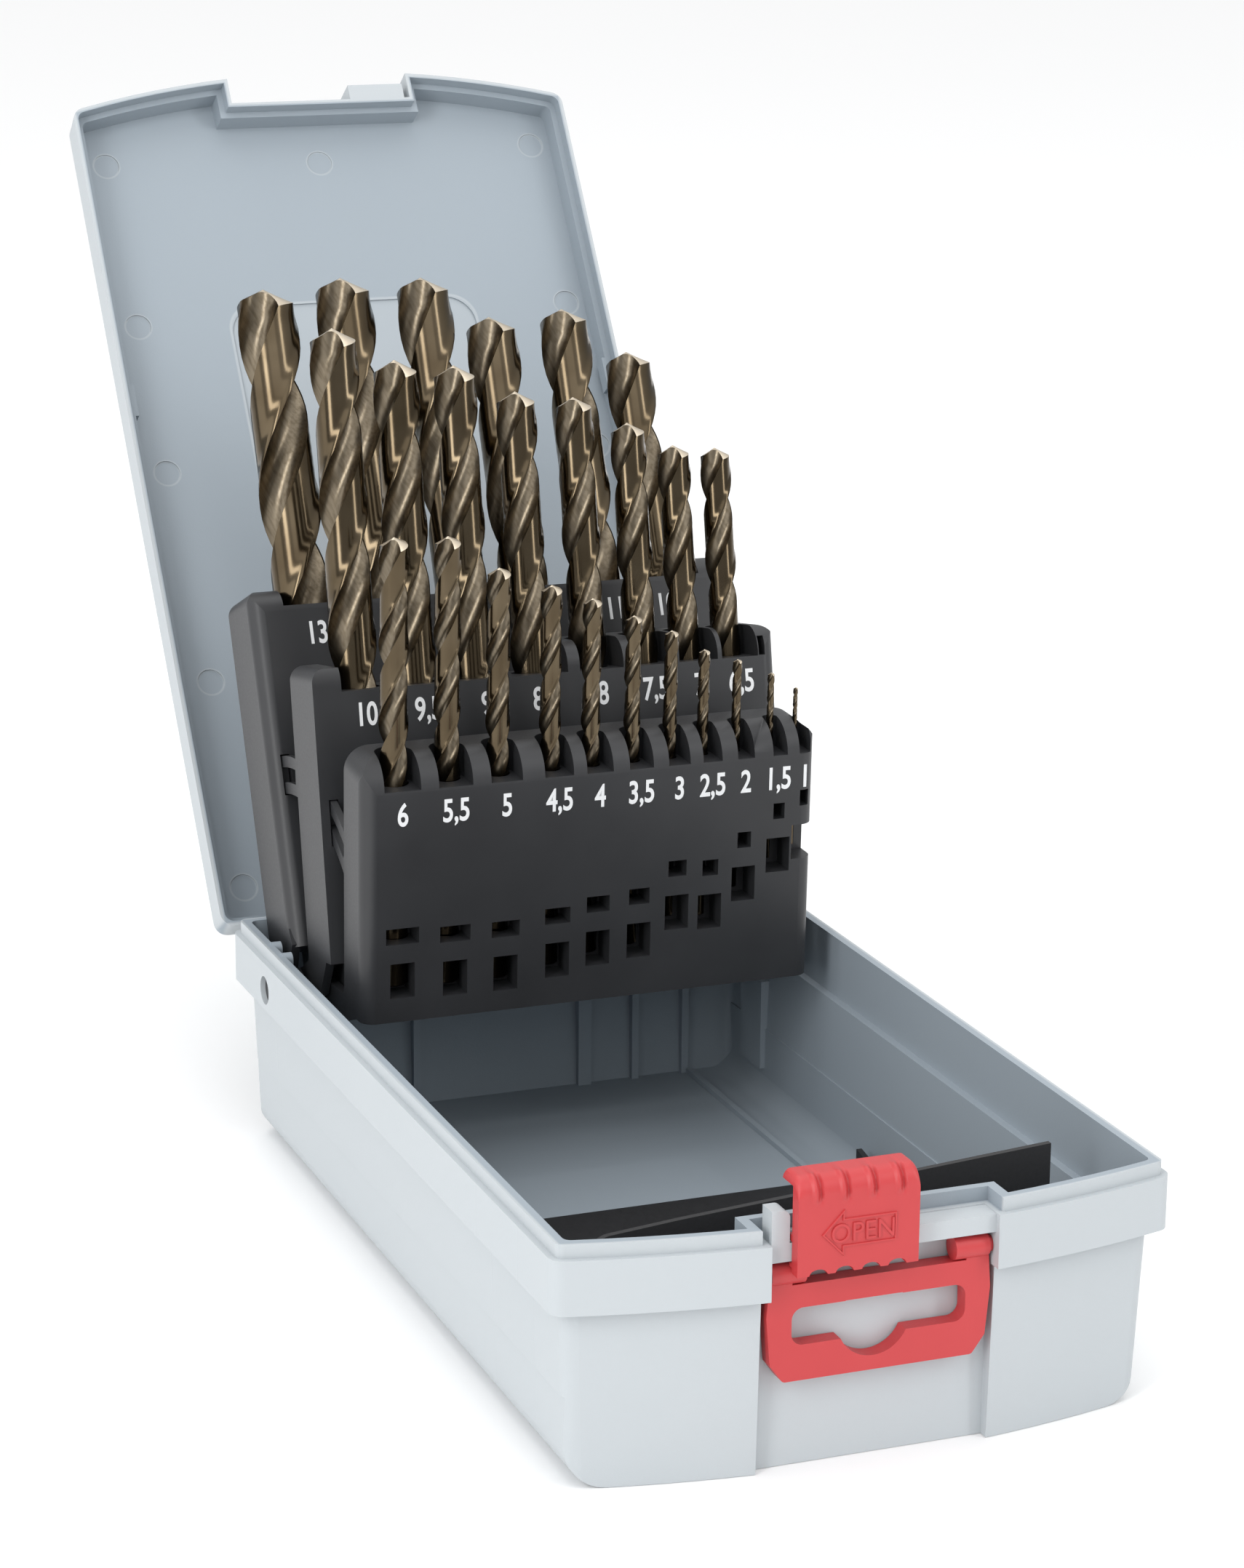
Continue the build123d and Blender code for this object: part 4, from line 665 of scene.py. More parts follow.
@dataclass(frozen=True)
class BronzeSteel:
    """Bronze-toned steel of the drills' shanks and lands, ground smooth."""

    name: str = "bronze_steel"
    land: Colour = (0.130, 0.102, 0.066)
    dark: Colour = (0.078, 0.058, 0.035)
    cloud_step: tuple[float, float] = (0.50, 0.35)
    streak_share: float = 0.22
    roughness: float = 0.12
    streak_sheen: float = 0.07
    cloud_sheen: float = 0.04
    streak: Pattern = Pattern(1100.0, stretch=(1.0, 1.0, 0.12))
    cloud: Pattern = Pattern(95.0)
    relief: Relief = Relief(0.00002, 0.06)

    def material(self) -> bpy.types.Material:
        """Build the material."""
        material, graph = new_graph(self.name)
        streak = graph.noise(graph.place(), self.streak)
        cloud = graph.noise(graph.place(), self.cloud)
        tone = graph.blend(cloud.above(*self.cloud_step), self.land, self.dark)
        graph.surface(
            Base_Color=graph.blend(streak * self.streak_share, tone, self.dark),
            Metallic=1.0,
            Roughness=self.roughness + self.streak_sheen * streak + self.cloud_sheen * cloud,
            Normal=graph.bump(streak, self.relief),
        )
        return material


@dataclass(frozen=True)
class FluteSteel:
    """Rougher steel of the flutes, streaked along their helix."""

    name: str = "flute_steel"
    floor: Colour = (0.185, 0.154, 0.112)
    dark: Colour = (0.110, 0.087, 0.058)
    streak_step: tuple[float, float] = (0.54, 0.22)
    streak_share: float = 0.8
    roughness: float = 0.24
    streak_sheen: float = 0.08
    cloud_sheen: float = 0.05
    helix_deg: float = 30.0
    streak: Pattern = Pattern(1500.0, stretch=(1.0, 1.0, 0.05))
    cloud: Pattern = Pattern(140.0)
    relief: Relief = Relief(0.00002, 0.08)

    def material(self) -> bpy.types.Material:
        """Build the material."""
        material, graph = new_graph(self.name)
        along = graph.turned(graph.place(), (0.0, self.helix_deg, 0.0))
        streak = graph.noise(along, self.streak)
        cloud = graph.noise(graph.place(), self.cloud)
        marked = streak.above(*self.streak_step) * self.streak_share
        graph.surface(
            Base_Color=graph.blend(marked, self.floor, self.dark),
            Metallic=1.0,
            Roughness=self.roughness + self.streak_sheen * streak + self.cloud_sheen * cloud,
            Normal=graph.bump(streak, self.relief),
        )
        return material


@dataclass(frozen=True)
class GroundFacet:
    """Paler, freshly ground faces at a drill's point."""

    name: str = "ground_facet"
    colour: Colour = (0.70, 0.61, 0.48)
    line_tone: Colour = (0.50, 0.42, 0.31)
    line_share: float = 0.4
    roughness: float = 0.30
    line_sheen: float = 0.12
    lines: Pattern = Pattern(2600.0, stretch=(0.3, 3.0, 1.0))
    relief: Relief = Relief(0.00002, 0.2)

    def material(self) -> bpy.types.Material:
        """Build the material."""
        material, graph = new_graph(self.name)
        lines = graph.noise(graph.place(), self.lines)
        graph.surface(
            Base_Color=graph.blend(lines * self.line_share, self.colour, self.line_tone),
            Metallic=1.0,
            Roughness=self.roughness + self.line_sheen * lines,
            Normal=graph.bump(lines, self.relief),
        )
        return material


@dataclass(frozen=True)
class PaleFloor:
    """Plain pale floor."""

    name: str = "pale_floor"
    colour: Colour = (0.90, 0.90, 0.90)
    cloud_tone: Colour = (0.86, 0.86, 0.86)
    cloud_share: float = 0.1
    roughness: float = 0.75
    cloud: Pattern = Pattern(3.0)

    def material(self) -> bpy.types.Material:
        """Build the material."""
        material, graph = new_graph(self.name)
        cloud = graph.noise(graph.place(), self.cloud)
        graph.surface(
            Base_Color=graph.blend(cloud * self.cloud_share, self.colour, self.cloud_tone),
            Roughness=self.roughness,
        )
        return material


# ------------------------------------------------------------------ meshes
def mesh_object(
    name: str,
    points: Sequence[Sequence[float]],
    faces: Sequence[Sequence[int]],
    materials: Sequence[bpy.types.Material],
    face_slots: Sequence[int] | None = None,
    sharp_deg: float = 32.0,
) -> bpy.types.Object:
    """Make a smooth-shaded mesh object with crisp edges.

    Args:
        name: The piece's name.
        points: Vertices in the case's frame, in metres.
        faces: Vertex numbers of each face.
        materials: The piece's materials.
        face_slots: Material number of each face, if there is more than one.
        sharp_deg: Edges that turn by more than this stay crisp.

    Returns:
        The new object, linked to the scene.
    """
    mesh = bpy.data.meshes.new(name)
    mesh.from_pydata([tuple(point) for point in points], [], [tuple(face) for face in faces])
    for material in materials:
        mesh.materials.append(material)
    if face_slots is not None:
        mesh.polygons.foreach_set("material_index", [int(slot) for slot in face_slots])
    mesh.polygons.foreach_set("use_smooth", [True] * len(mesh.polygons))
    mesh.set_sharp_from_angle(angle=math.radians(sharp_deg))
    mesh.update()
    made = bpy.data.objects.new(name, mesh)
    bpy.context.scene.collection.objects.link(made)
    return made


def text_mesh(
    name: str, words: str, height: float, depth: float, weight: float, width: float
) -> bpy.types.Mesh:
    """Letters as a solid mesh, centred on the origin and facing +Z.

    Args:
        name: Name of the mesh.
        words: The characters.
        height: Height of a capital or a digit.
        depth: Thickness of the letters.
        weight: Outline growth, to make the strokes bolder.
        width: Width of the letters as a share of the font's own.

    Returns:
        The mesh.
    """
    curve = bpy.data.curves.new(name, "FONT")
    curve.body = words
    curve.size = 1.0
    curve.offset = weight
    curve.resolution_u = 6
    curve.extrude = 0.5
    holder = bpy.data.objects.new(name, curve)
    bpy.context.scene.collection.objects.link(holder)
    bpy.context.view_layer.update()
    mesh = bpy.data.meshes.new_from_object(holder)
    bpy.data.objects.remove(holder)
    bpy.data.curves.remove(curve)
    scale = height / CAPITAL_SHARE
    xs = [vertex.co.x for vertex in mesh.vertices]
    middle = (min(xs) + max(xs)) / 2
    for vertex in mesh.vertices:
        vertex.co.x = (vertex.co.x - middle) * scale * width
        vertex.co.y = (vertex.co.y - CAPITAL_SHARE / 2) * scale
        vertex.co.z = vertex.co.z * depth
    mesh.name = name
    return mesh


def strip(ring: int, corners: int) -> list[tuple[int, int, int, int]]:
    """Faces between one ring of corners and the next.

    Args:
        ring: Number of the lower ring.
        corners: Corners in each ring.

    Returns:
        The four vertex numbers of each face.
    """
    low = ring * corners
    high = low + corners
    pairs = [(corner, (corner + 1) % corners) for corner in range(corners)]
    return [(low + one, low + two, high + two, high + one) for one, two in pairs]


def dress(node: str, material: bpy.types.Material) -> None:
    """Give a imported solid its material.

    Args:
        node: The node's name.
        material: The material for all its faces.
    """
    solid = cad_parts[node]
    solid.data.materials.clear()
    solid.data.materials.append(material)
    LOG.info("dressed %s with %s", node, material.name)


def smooth_step(value: float) -> float:
    """Ease from 0 to 1."""
    held = min(1.0, max(0.0, value))
    return held * held * (3.0 - 2.0 * held)


# ------------------------------------------------------------------- racks
class Row(Enum):
    """The three racks, from the latch to the hinge."""

    FRONT = "front"
    MIDDLE = "middle"
    REAR = "rear"


class DrillFace(IntEnum):
    """The finishes on one drill, as its material numbers."""

    BODY = 0
    GROUND = 1
    FLUTE = 2


@dataclass(frozen=True)
class TwistDrill:
    """One right-hand twist drill; lengths in millimetres."""

    diameter: float
    length: float
    flute: float
    across: float
    seat: float
    columns: int = 72
    flute_half_deg: float = 42.5
    flute_offset: float = 0.92
    ridge_deg: float = 2.5
    margin_deg: float = 7.5
    land_relief: float = 0.93
    relief_deg: float = 27.2
    pitch_per_diameter: float = 5.44
    point_slope: float = 0.4142
    point_relief: float = 0.26
    tip_clock_deg: float = 85.0
    edge_slack_deg: float = 0.01
    chamfer_share: float = 0.06
    point_share: float = 1.05
    run_out: float = 1.3
    rings_per_pitch: int = 30
    least_rings: int = 12
    plain_rings: int = 3
    point_shares: tuple[float, ...] = (1.0, 0.8, 0.6, 0.4, 0.2)
    sharp_deg: float = 28.0

    @property
    def label(self) -> str:
        """Size as it is printed, with a decimal comma."""
        return f"{self.diameter:g}".replace(".", ",")

    @property
    def node(self) -> str:
        """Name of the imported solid."""
        return "drill_" + f"{self.diameter:g}".replace(".", "_")

    @property
    def pitch(self) -> float:
        """Rise of the flutes in one turn."""
        return self.pitch_per_diameter * self.diameter

    @property
    def angles(self) -> list[float]:
        """Angles of a ring's points around the section."""
        return [360.0 / self.columns * column + self.ridge_deg for column in range(self.columns)]

    @property
    def levels(self) -> list[float]:
        """Heights of the rings below the ground point."""
        start = self.length - self.flute
        rise = self.length - self.point_share * self.diameter / 2 - start
        count = max(self.least_rings, round(rise / self.pitch * self.rings_per_pitch))
        fluted = [start + rise * (ring + 1) / count for ring in range(count)]
        return [0.0, self.chamfer_share * self.diameter, start, *fluted]

    def section(self, degrees: float) -> tuple[float, float]:
        """Outline of the fluted section, as shares of the drill's radius.

        Args:
            degrees: Even angle around the outline, from the middle of a flute.

        Returns:
            The point's own angle and its radius.
        """
        turn = (degrees + 90.0) % 180.0 - 90.0
        if self.in_flute(degrees):
            edge = math.radians(self.flute_half_deg)
            across, past = math.sin(edge), self.flute_offset - math.cos(edge)
            bow = math.hypot(across, past)
            arc = math.atan2(across, past) * turn / self.flute_half_deg
            x = self.flute_offset - bow * math.cos(arc)
            y = bow * math.sin(arc)
            return degrees - turn + math.degrees(math.atan2(y, x)), math.hypot(x, y)
        behind = self.behind_lip(degrees)
        if behind <= self.margin_deg:
            return degrees, 1.0
        flat = max(0.0, self.relief_deg - behind)
        return degrees, self.land_relief / math.cos(math.radians(flat))

    def behind_lip(self, degrees: float) -> float:
        """Angle behind the leading edge of a land.

        Args:
            degrees: Angle from the middle of a flute.

        Returns:
            The angle, from 0 to 180.
        """
        behind = (-self.flute_half_deg - degrees) % 180.0
        return 0.0 if behind > 180.0 - self.edge_slack_deg else behind

    def in_flute(self, degrees: float) -> bool:
        """Whether an angle of the section lies inside a flute.

        Args:
            degrees: Angle from the middle of a flute.

        Returns:
            True inside a flute.
        """
        turn = (degrees + 90.0) % 180.0 - 90.0
        return abs(turn) < self.flute_half_deg - self.edge_slack_deg

    def tip_drop(self, reach: float, degrees: float) -> float:
        """How far the ground point lies below its tip.

        Args:
            reach: Distance from the drill's axis.
            degrees: Angle from the middle of a flute.

        Returns:
            The drop: a cone that falls away further behind each lip.
        """
        behind = self.behind_lip(degrees)
        land = 180.0 - 2.0 * self.flute_half_deg
        eased = behind if behind <= land else land * (180.0 - behind) / (180.0 - land)
        return reach * (self.point_slope + self.point_relief * math.radians(eased))

    def ring_point(self, degrees: float, share: float, height: float | None, run: float) -> Place:
        """One point of a ring.

        Args:
            degrees: Even angle around the section.
            share: Reach as a share of the section's own.
            height: Height of the ring, or None on the ground point.
            run: 0 on the round shank, 1 where the flutes are at full depth.

        Returns:
            The point, with the drill standing on the origin.
        """
        own, depth = self.section(degrees)
        own = degrees + (own - degrees) * run
        reach = self.diameter / 2 * (depth * run + 1.0 - run) * share
        level = self.length - self.tip_drop(reach, own) if height is None else height
        twist = 360.0 * (level - self.length) / self.pitch
        turned = math.radians(own + twist + self.tip_clock_deg)
        return reach * math.cos(turned), reach * math.sin(turned), level

    def rings(self) -> list[list[Place]]:
        """The rings of points, from the shank's end to the tip."""
        start = self.length - self.flute
        rings = []
        for index, level in enumerate(self.levels):
            fluted = index >= self.plain_rings
            run = smooth_step((level - start) / (self.run_out * self.diameter)) if fluted else 0.0
            share = 1.0 - 2 * self.chamfer_share if index == 0 else 1.0
            rings.append([self.ring_point(angle, share, level, run) for angle in self.angles])
        for share in self.point_shares:
            rings.append([self.ring_point(angle, share, None, 1.0) for angle in self.angles])
        return rings

    def side_faces(self, ring: int) -> list[DrillFace]:
        """Finishes of the faces above one ring.

        Args:
            ring: Number of the ring.

        Returns:
            The finish of each face.
        """
        if ring >= len(self.levels):
            return [DrillFace.GROUND] * self.columns
        middles = [angle + 180.0 / self.columns for angle in self.angles]
        carved = ring >= self.plain_rings
        return [
            DrillFace.FLUTE if carved and self.in_flute(middle) else DrillFace.BODY
            for middle in middles
        ]

    def build(self, stand: "RackStand", finishes: Sequence[bpy.types.Material]) -> bpy.types.Object:
        """Build the drill where it stands in its rack.

        Args:
            stand: The rack that holds it.
            finishes: The materials, in the order of DrillFace.

        Returns:
            The finished piece.
        """
        rings = self.rings()
        points = [point for ring in rings for point in ring] + [(0.0, 0.0, self.length)]
        faces: list[tuple[int, ...]] = [tuple(reversed(range(self.columns)))]
        slots = [DrillFace.BODY]
        for ring in range(len(rings) - 1):
            faces += strip(ring, self.columns)
            slots += self.side_faces(ring)
        last = (len(rings) - 1) * self.columns
        for column in range(self.columns):
            faces.append((last + column, last + (column + 1) % self.columns, len(points) - 1))
            slots.append(DrillFace.GROUND)
        placed = [
            stand.spot(self.across + x, stand.centre + y, self.seat + z) for x, y, z in points
        ]
        name = self.node + "_shape"
        drill = mesh_object(name, placed, faces, finishes, slots, self.sharp_deg)
        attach(drill, self.node + "_body")
        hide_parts(self.node)
        return drill


@dataclass(frozen=True)
class RackStand:
    """Where one rack stands while the case is open; lengths in millimetres."""

    row: Row
    lean_deg: float
    face: float
    centre: float
    label_height: float
    drills: tuple[TwistDrill, ...]
    pivot_y: float = 78.5
    pivot_z: float = 38.4
    digit_height: float = 4.7
    print_depth: float = 0.10
    print_sink: float = 0.04
    print_weight: float = 0.018
    print_width: float = 0.72

    @property
    def body(self) -> str:
        """Name of the rack's body."""
        return self.row.value + "_rack"

    @property
    def node(self) -> str:
        """Name of the rack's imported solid."""
        return "rack_" + self.row.value

    def spot(self, x: float, back: float, up: float) -> Vector:
        """Place in the case's frame of a point of the upright rack.

        Args:
            x: Across the case.
            back: Away from the latch, from the pivot.
            up: Along the drills, from the pivot.

        Returns:
            The place in metres.
        """
        turn = math.radians(self.lean_deg)
        y = self.pivot_y + back * math.cos(turn) + up * math.sin(turn)
        z = self.pivot_z - back * math.sin(turn) + up * math.cos(turn)
        return Vector((x * MM, y * MM, z * MM))

    def print_numbers(self, ink: bpy.types.Material) -> None:
        """Print the size of each drill on the rack's face.

        Args:
            ink: The print's material.
        """
        for drill in self.drills:
            name = "number_" + drill.node
            sizes = (self.digit_height, self.print_depth, self.print_weight, self.print_width)
            mesh = text_mesh(name, drill.label, *sizes)
            for vertex in mesh.vertices:
                letter = vertex.co.copy()
                back = self.face - letter.z - self.print_depth / 2 + self.print_sink
                vertex.co = self.spot(drill.across + letter.x, back, self.label_height + letter.y)
            mesh.materials.clear()
            mesh.materials.append(ink)
            number = bpy.data.objects.new(name, mesh)
            bpy.context.scene.collection.objects.link(number)
            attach(number, self.body)
        LOG.info("printed %d numbers on %s", len(self.drills), self.node)


# diameter, length, length of the flutes, place across the rack, seat height
FRONT_DRILLS = (
    TwistDrill(6.0, 93.0, 57.0, -40.6, 9.5),
    TwistDrill(5.5, 93.0, 57.0, -29.4, 8.9),
    TwistDrill(5.0, 86.0, 52.0, -18.6, 8.7),
    TwistDrill(4.5, 80.0, 47.0, -7.4, 10.3),
    TwistDrill(4.0, 75.0, 43.0, 1.4, 11.9),
    TwistDrill(3.5, 70.0, 39.0, 10.4, 12.6),
    TwistDrill(3.0, 61.0, 33.0, 18.7, 17.8),
    TwistDrill(2.5, 57.0, 30.0, 26.0, 17.2),
    TwistDrill(2.0, 49.0, 24.0, 33.4, 22.5),
    TwistDrill(1.5, 40.0, 18.0, 41.0, 28.0),
    TwistDrill(1.0, 34.0, 12.0, 46.6, 30.4),
)
MIDDLE_DRILLS = (
    TwistDrill(10.0, 133.0, 87.0, -39.5, 2.8),
    TwistDrill(9.5, 125.0, 81.0, -26.7, 3.7),
    TwistDrill(9.0, 125.0, 81.0, -14.0, 1.9),
    TwistDrill(8.5, 117.0, 75.0, -1.0, 3.8),
    TwistDrill(8.0, 117.0, 75.0, 11.7, 1.9),
    TwistDrill(7.5, 109.0, 69.0, 23.4, 3.9),
    TwistDrill(7.0, 106.6, 69.0, 33.4, 1.0),
    TwistDrill(6.5, 101.0, 63.0, 42.8, 5.5),
)
REAR_DRILLS = (
    TwistDrill(13.0, 149.3, 101.0, -39.4, 0.3),
    TwistDrill(12.5, 151.0, 101.0, -21.9, 0.3),
    TwistDrill(12.0, 150.2, 101.0, -3.8, 0.3),
    TwistDrill(11.5, 140.7, 94.0, 10.6, 0.3),
    TwistDrill(11.0, 141.6, 94.0, 27.6, 0.3),
    TwistDrill(10.5, 131.2, 87.0, 41.4, 0.3),
)


@dataclass
class Racks:
    """The three racks with their drills and printed numbers; lengths in millimetres."""

    # row, lean, front face, drill axes, label height, drills
    stands: tuple[RackStand, ...] = (
        RackStand(Row.FRONT, -1.95, -34.4, -28.15, 47.2, FRONT_DRILLS),
        RackStand(Row.MIDDLE, 10.4, -21.3, -13.3, 57.6, MIDDLE_DRILLS),
        RackStand(Row.REAR, 22.5, -4.7, 4.3, 73.6, REAR_DRILLS),
    )

    def build(self) -> None:
        """Dress the racks and build what stands in them."""
        black = RackPlastic().material()
        ink = PrintedWhite().material()
        steel = (BronzeSteel().material(), GroundFacet().material(), FluteSteel().material())
        for stand in self.stands:
            dress(stand.node, black)
            stand.print_numbers(ink)
            for drill in stand.drills:
                drill.build(stand, steel)
            LOG.info("built %d drills in %s", len(stand.drills), stand.node)


# -------------------------------------------------------------------- case
@dataclass
class Case:
    """The tray, the lid, their pins and the liner sheet."""

    plastic: CasePlastic = CasePlastic()
    pin_nodes: tuple[str, ...] = ("hinge_pin_left", "hinge_pin_right")
    pivot_nodes: tuple[str, ...] = ("pivot_pin_left", "pivot_pin_right")

    def build(self) -> None:
        """Dress the case."""
        dress("base_tray", self.plastic.material(Shell.TRAY))
        dress("lid_shell", self.plastic.material(Shell.LID))
        metal = PinMetal().material()
        for node in self.pin_nodes:
            dress(node, metal)
        black = RackPlastic().material()
        for node in self.pivot_nodes:
            dress(node, black)
        dress("front_insert", LinerSheet().material())


def inset_outline(points: Outline, step: float) -> Outline:
    """Closed outline moved inwards by the same step along every side.

    Args:
        points: Corners, clockwise as seen from the front.
        step: How far each side moves.

    Returns:
        The new corners.
    """
    moved = []
    for index, corner in enumerate(points):
        before = Vector(corner) - Vector(points[index - 1])
        after = Vector(points[(index + 1) % len(points)]) - Vector(corner)
        before.normalize()
        after.normalize()
        first = Vector((before.y, -before.x))
        second = Vector((after.y, -after.x))
        middle = first + second
        reach = 2.0 * step / middle.length_squared
        place = Vector(corner) + middle * reach
        moved.append((place.x, place.y))
    return moved


@dataclass(frozen=True)
class Swell:
    """A rounded ridge or groove across the latch's grip; millimetres."""

    offset: float
    half: float
    height: float
    sharpness: float = 1.5

    def at(self, off: float) -> float:
        """Its height at a distance from its rib's middle."""
        share = min(1.0, abs(off - self.offset) / self.half)
        return self.height * max(0.0, math.cos(math.pi * share / 2)) ** self.sharpness


@dataclass
class LatchAndHandle:
    """The sliding latch with its raised mark, and the hanging handle; millimetres."""

    face_y: float = -103.2
    mark_x: float = -6.1
    mark_z: float = 45.9
    arrow: tuple[tuple[float, float], ...] = (
        (-7.1, 0.0),
        (-2.8, 4.4),
        (-2.8, 2.65),
        (7.1, 2.65),
        (7.1, -2.65),
        (-2.8, -2.65),
        (-2.8, -4.4),
    )
    line: float = 0.42
    rise: float = 0.26
    sink: float = 0.05
    bevel_share: float = 0.3
    word: str = "OPEN"
    word_height: float = 3.5
    word_width: float = 0.95
    word_shift: float = 0.7
    left_x: float = -17.6
    wide: float = 23.0
    foot_z: float = 38.6
    top_z: float = 56.5
    back_y: float = -100.7
    jaw_back_y: float = -96.2
    jaw_low_z: float = 54.7
    fold_radius: float = 3.2
    corner_radius: float = 1.3
    guide: tuple[float, float, float] = (-99.4, 44.4, 45.7)
    claw: tuple[float, float, float] = (-99.7, 39.6, 40.4)
    scallop_radius: float = 1.7
    scallop_rise: float = 0.62
    scallop_pitch: float = 5.0
    rib_pitch: float = 5.2
    rib_foot_z: float = 51.6
    ridge: Swell = Swell(-0.50, 0.75, 0.50)
    groove: Swell = Swell(0.62, 0.62, -0.60)
    outermost: float = 1.5
    foot_edge: float = 0.4
    plain_gap: float = 0.6
    jaw_edge: float = 0.5
    claw_gap: float = 0.05
    rib_steps: int = 4
    rib_ease: float = 1.3
    fold_steps: int = 12
    fold_fade: int = 5
    columns: int = 150

    def on_face(self, across: float, up: float, out: float) -> Vector:
        """Place on the latch's front face.

        Args:
            across: To the right of the mark's centre.
            up: Above the mark's centre.
            out: Towards the front.

        Returns:
            The place in metres.
        """
        return Vector((self.mark_x + across, self.face_y - out, self.mark_z + up)) * MM

    def edge_round(self, across: float) -> float:
        """How far the upper edge drops near the latch's two ends."""
        inset = min(across, self.wide - across)
        if inset >= self.corner_radius:
            return 0.0
        gap = self.corner_radius - inset
        return self.corner_radius - math.sqrt(self.corner_radius**2 - gap**2)

    def off_nearest(self, across: float, pitch: float) -> float:
        """Distance from the nearest of four places spaced about the latch's middle.

        Args:
            across: Distance from the latch's left end.
            pitch: Distance from one place to the next.

        Returns:
            The distance, negative to the left.
        """
        middle = across - self.wide / 2
        nearest = round(middle / pitch - 0.5) + 0.5
        return middle - max(-self.outermost, min(self.outermost, nearest)) * pitch

    def scallop(self, across: float) -> float:
        """How far the lower edge rises into its nearest scallop."""
        off = self.off_nearest(across, self.scallop_pitch)
        if abs(off) >= self.scallop_radius:
            return 0.0
        return self.scallop_rise * math.sqrt(self.scallop_radius**2 - off**2)

    def rib(self, across: float) -> float:
        """Height of the grip's ribs and grooves at a place across the latch."""
        off = self.off_nearest(across, self.rib_pitch)
        return self.ridge.at(off) + self.groove.at(off)

    def latch_column(self, across: float) -> list[tuple[float, float]]:
        """Side outline of the latch at one place across it.

        Args:
            across: Distance from the latch's left end.

        Returns:
            The outline as places along the case and up.
        """
        top = self.top_z - self.edge_round(across)
        foot = self.foot_z + self.scallop(across)
        rib = self.rib(across)
        bend = top - self.fold_radius
        plain_top = self.rib_foot_z - self.plain_gap
        outline = [(self.face_y, level) for level in (foot, foot + self.foot_edge, plain_top)]
        for step in range(self.rib_steps + 1):
            share = step / self.rib_steps
            level = self.rib_foot_z + (bend - self.rib_foot_z) * share
            outline.append((self.face_y - rib * smooth_step(share * self.rib_ease), level))
        for step in range(1, self.fold_steps + 1):
            turn = math.radians(90.0 * step / self.fold_steps)
            fade = smooth_step((self.fold_steps + 1 - step) / self.fold_fade)
            reach = self.fold_radius + rib * fade
            y = self.face_y + self.fold_radius - reach * math.cos(turn)
            outline.append((y, bend + reach * math.sin(turn)))
        outline += [(self.jaw_back_y - self.jaw_edge, top), (self.jaw_back_y, top - self.jaw_edge)]
        outline += [(self.jaw_back_y, self.jaw_low_z), (self.back_y, self.jaw_low_z)]
        for back, low, high in (self.guide, self.claw):
            outline += [(self.back_y, high), (back, high), (back, low), (self.back_y, low)]
        outline[-1] = (self.back_y, max(self.claw[1], foot + self.claw_gap))
        outline.append((self.back_y, foot))
        return outline

    def shape_latch(self, red: bpy.types.Material) -> None:
        """Build the folded latch with its ribs and scallops."""
        points = []
        for column in range(self.columns + 1):
            across = self.wide * column / self.columns
            outline = self.latch_column(across)
            points += [Vector((self.left_x + across, y, z)) * MM for y, z in outline]
        count = len(outline)
        faces = [tuple(range(count)), tuple(reversed(range(self.columns * count, len(points))))]
        for column in range(self.columns):
            faces += [(b, a, d, c) for a, b, c, d in strip(column, count)]
        latch = mesh_object("latch_shape", points, faces, (red,))
        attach(latch, "latch")
        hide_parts("latch_slider")

    def raise_arrow(self, red: bpy.types.Material) -> None:
        """Build the raised outline of the arrow."""
        bevel = self.rise * self.bevel_share
        loops = (
            (self.arrow, -self.sink),
            (inset_outline(self.arrow, bevel), self.rise),
            (inset_outline(self.arrow, self.line - bevel), self.rise),
            (inset_outline(self.arrow, self.line), -self.sink),
        )
        points = [self.on_face(x, z, out) for loop, out in loops for x, z in loop]
        faces = []
        for ring in range(len(loops) - 1):
            faces += strip(ring, len(self.arrow))
        arrow = mesh_object("latch_arrow", points, faces, (red,))
        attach(arrow, "latch")

    def raise_word(self, red: bpy.types.Material) -> None:
        """Build the raised word inside the arrow."""
        sizes = (self.word_height, self.rise * 2, 0.0, self.word_width)
        mesh = text_mesh("latch_word", self.word, *sizes)
        for vertex in mesh.vertices:
            letter = vertex.co.copy()
            vertex.co = self.on_face(letter.x + self.word_shift, letter.y, letter.z)
        mesh.materials.clear()
        mesh.materials.append(red)
        word = bpy.data.objects.new("latch_word", mesh)
        bpy.context.scene.collection.objects.link(word)
        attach(word, "latch")

    def build(self) -> None:
        """Dress both and add the raised marks."""
        red = RedPlastic().material()
        self.shape_latch(red)
        dress("hanging_handle", red)
        self.raise_arrow(red)
        self.raise_word(red)
        LOG.info("raised the arrow and its word on the latch")


# ------------------------------------------------------------------ studio
@dataclass(frozen=True)
class SoftLight:
    """One large soft lamp."""

    name: str
    place: Place
    target: Place
    wide: float
    tall: float
    power: float

    def build(self) -> None:
        """Hang the lamp and turn it to its target."""
        lamp = bpy.data.lights.new(self.name, "AREA")
        lamp.shape = "RECTANGLE"
        lamp.size = self.wide
        lamp.size_y = self.tall
        lamp.energy = self.power
        holder = bpy.data.objects.new(self.name, lamp)
        bpy.context.scene.collection.objects.link(holder)
        way = Vector(self.target) - Vector(self.place)
        holder.location = self.place
        holder.rotation_euler = way.to_track_quat("-Z", "Y").to_euler()


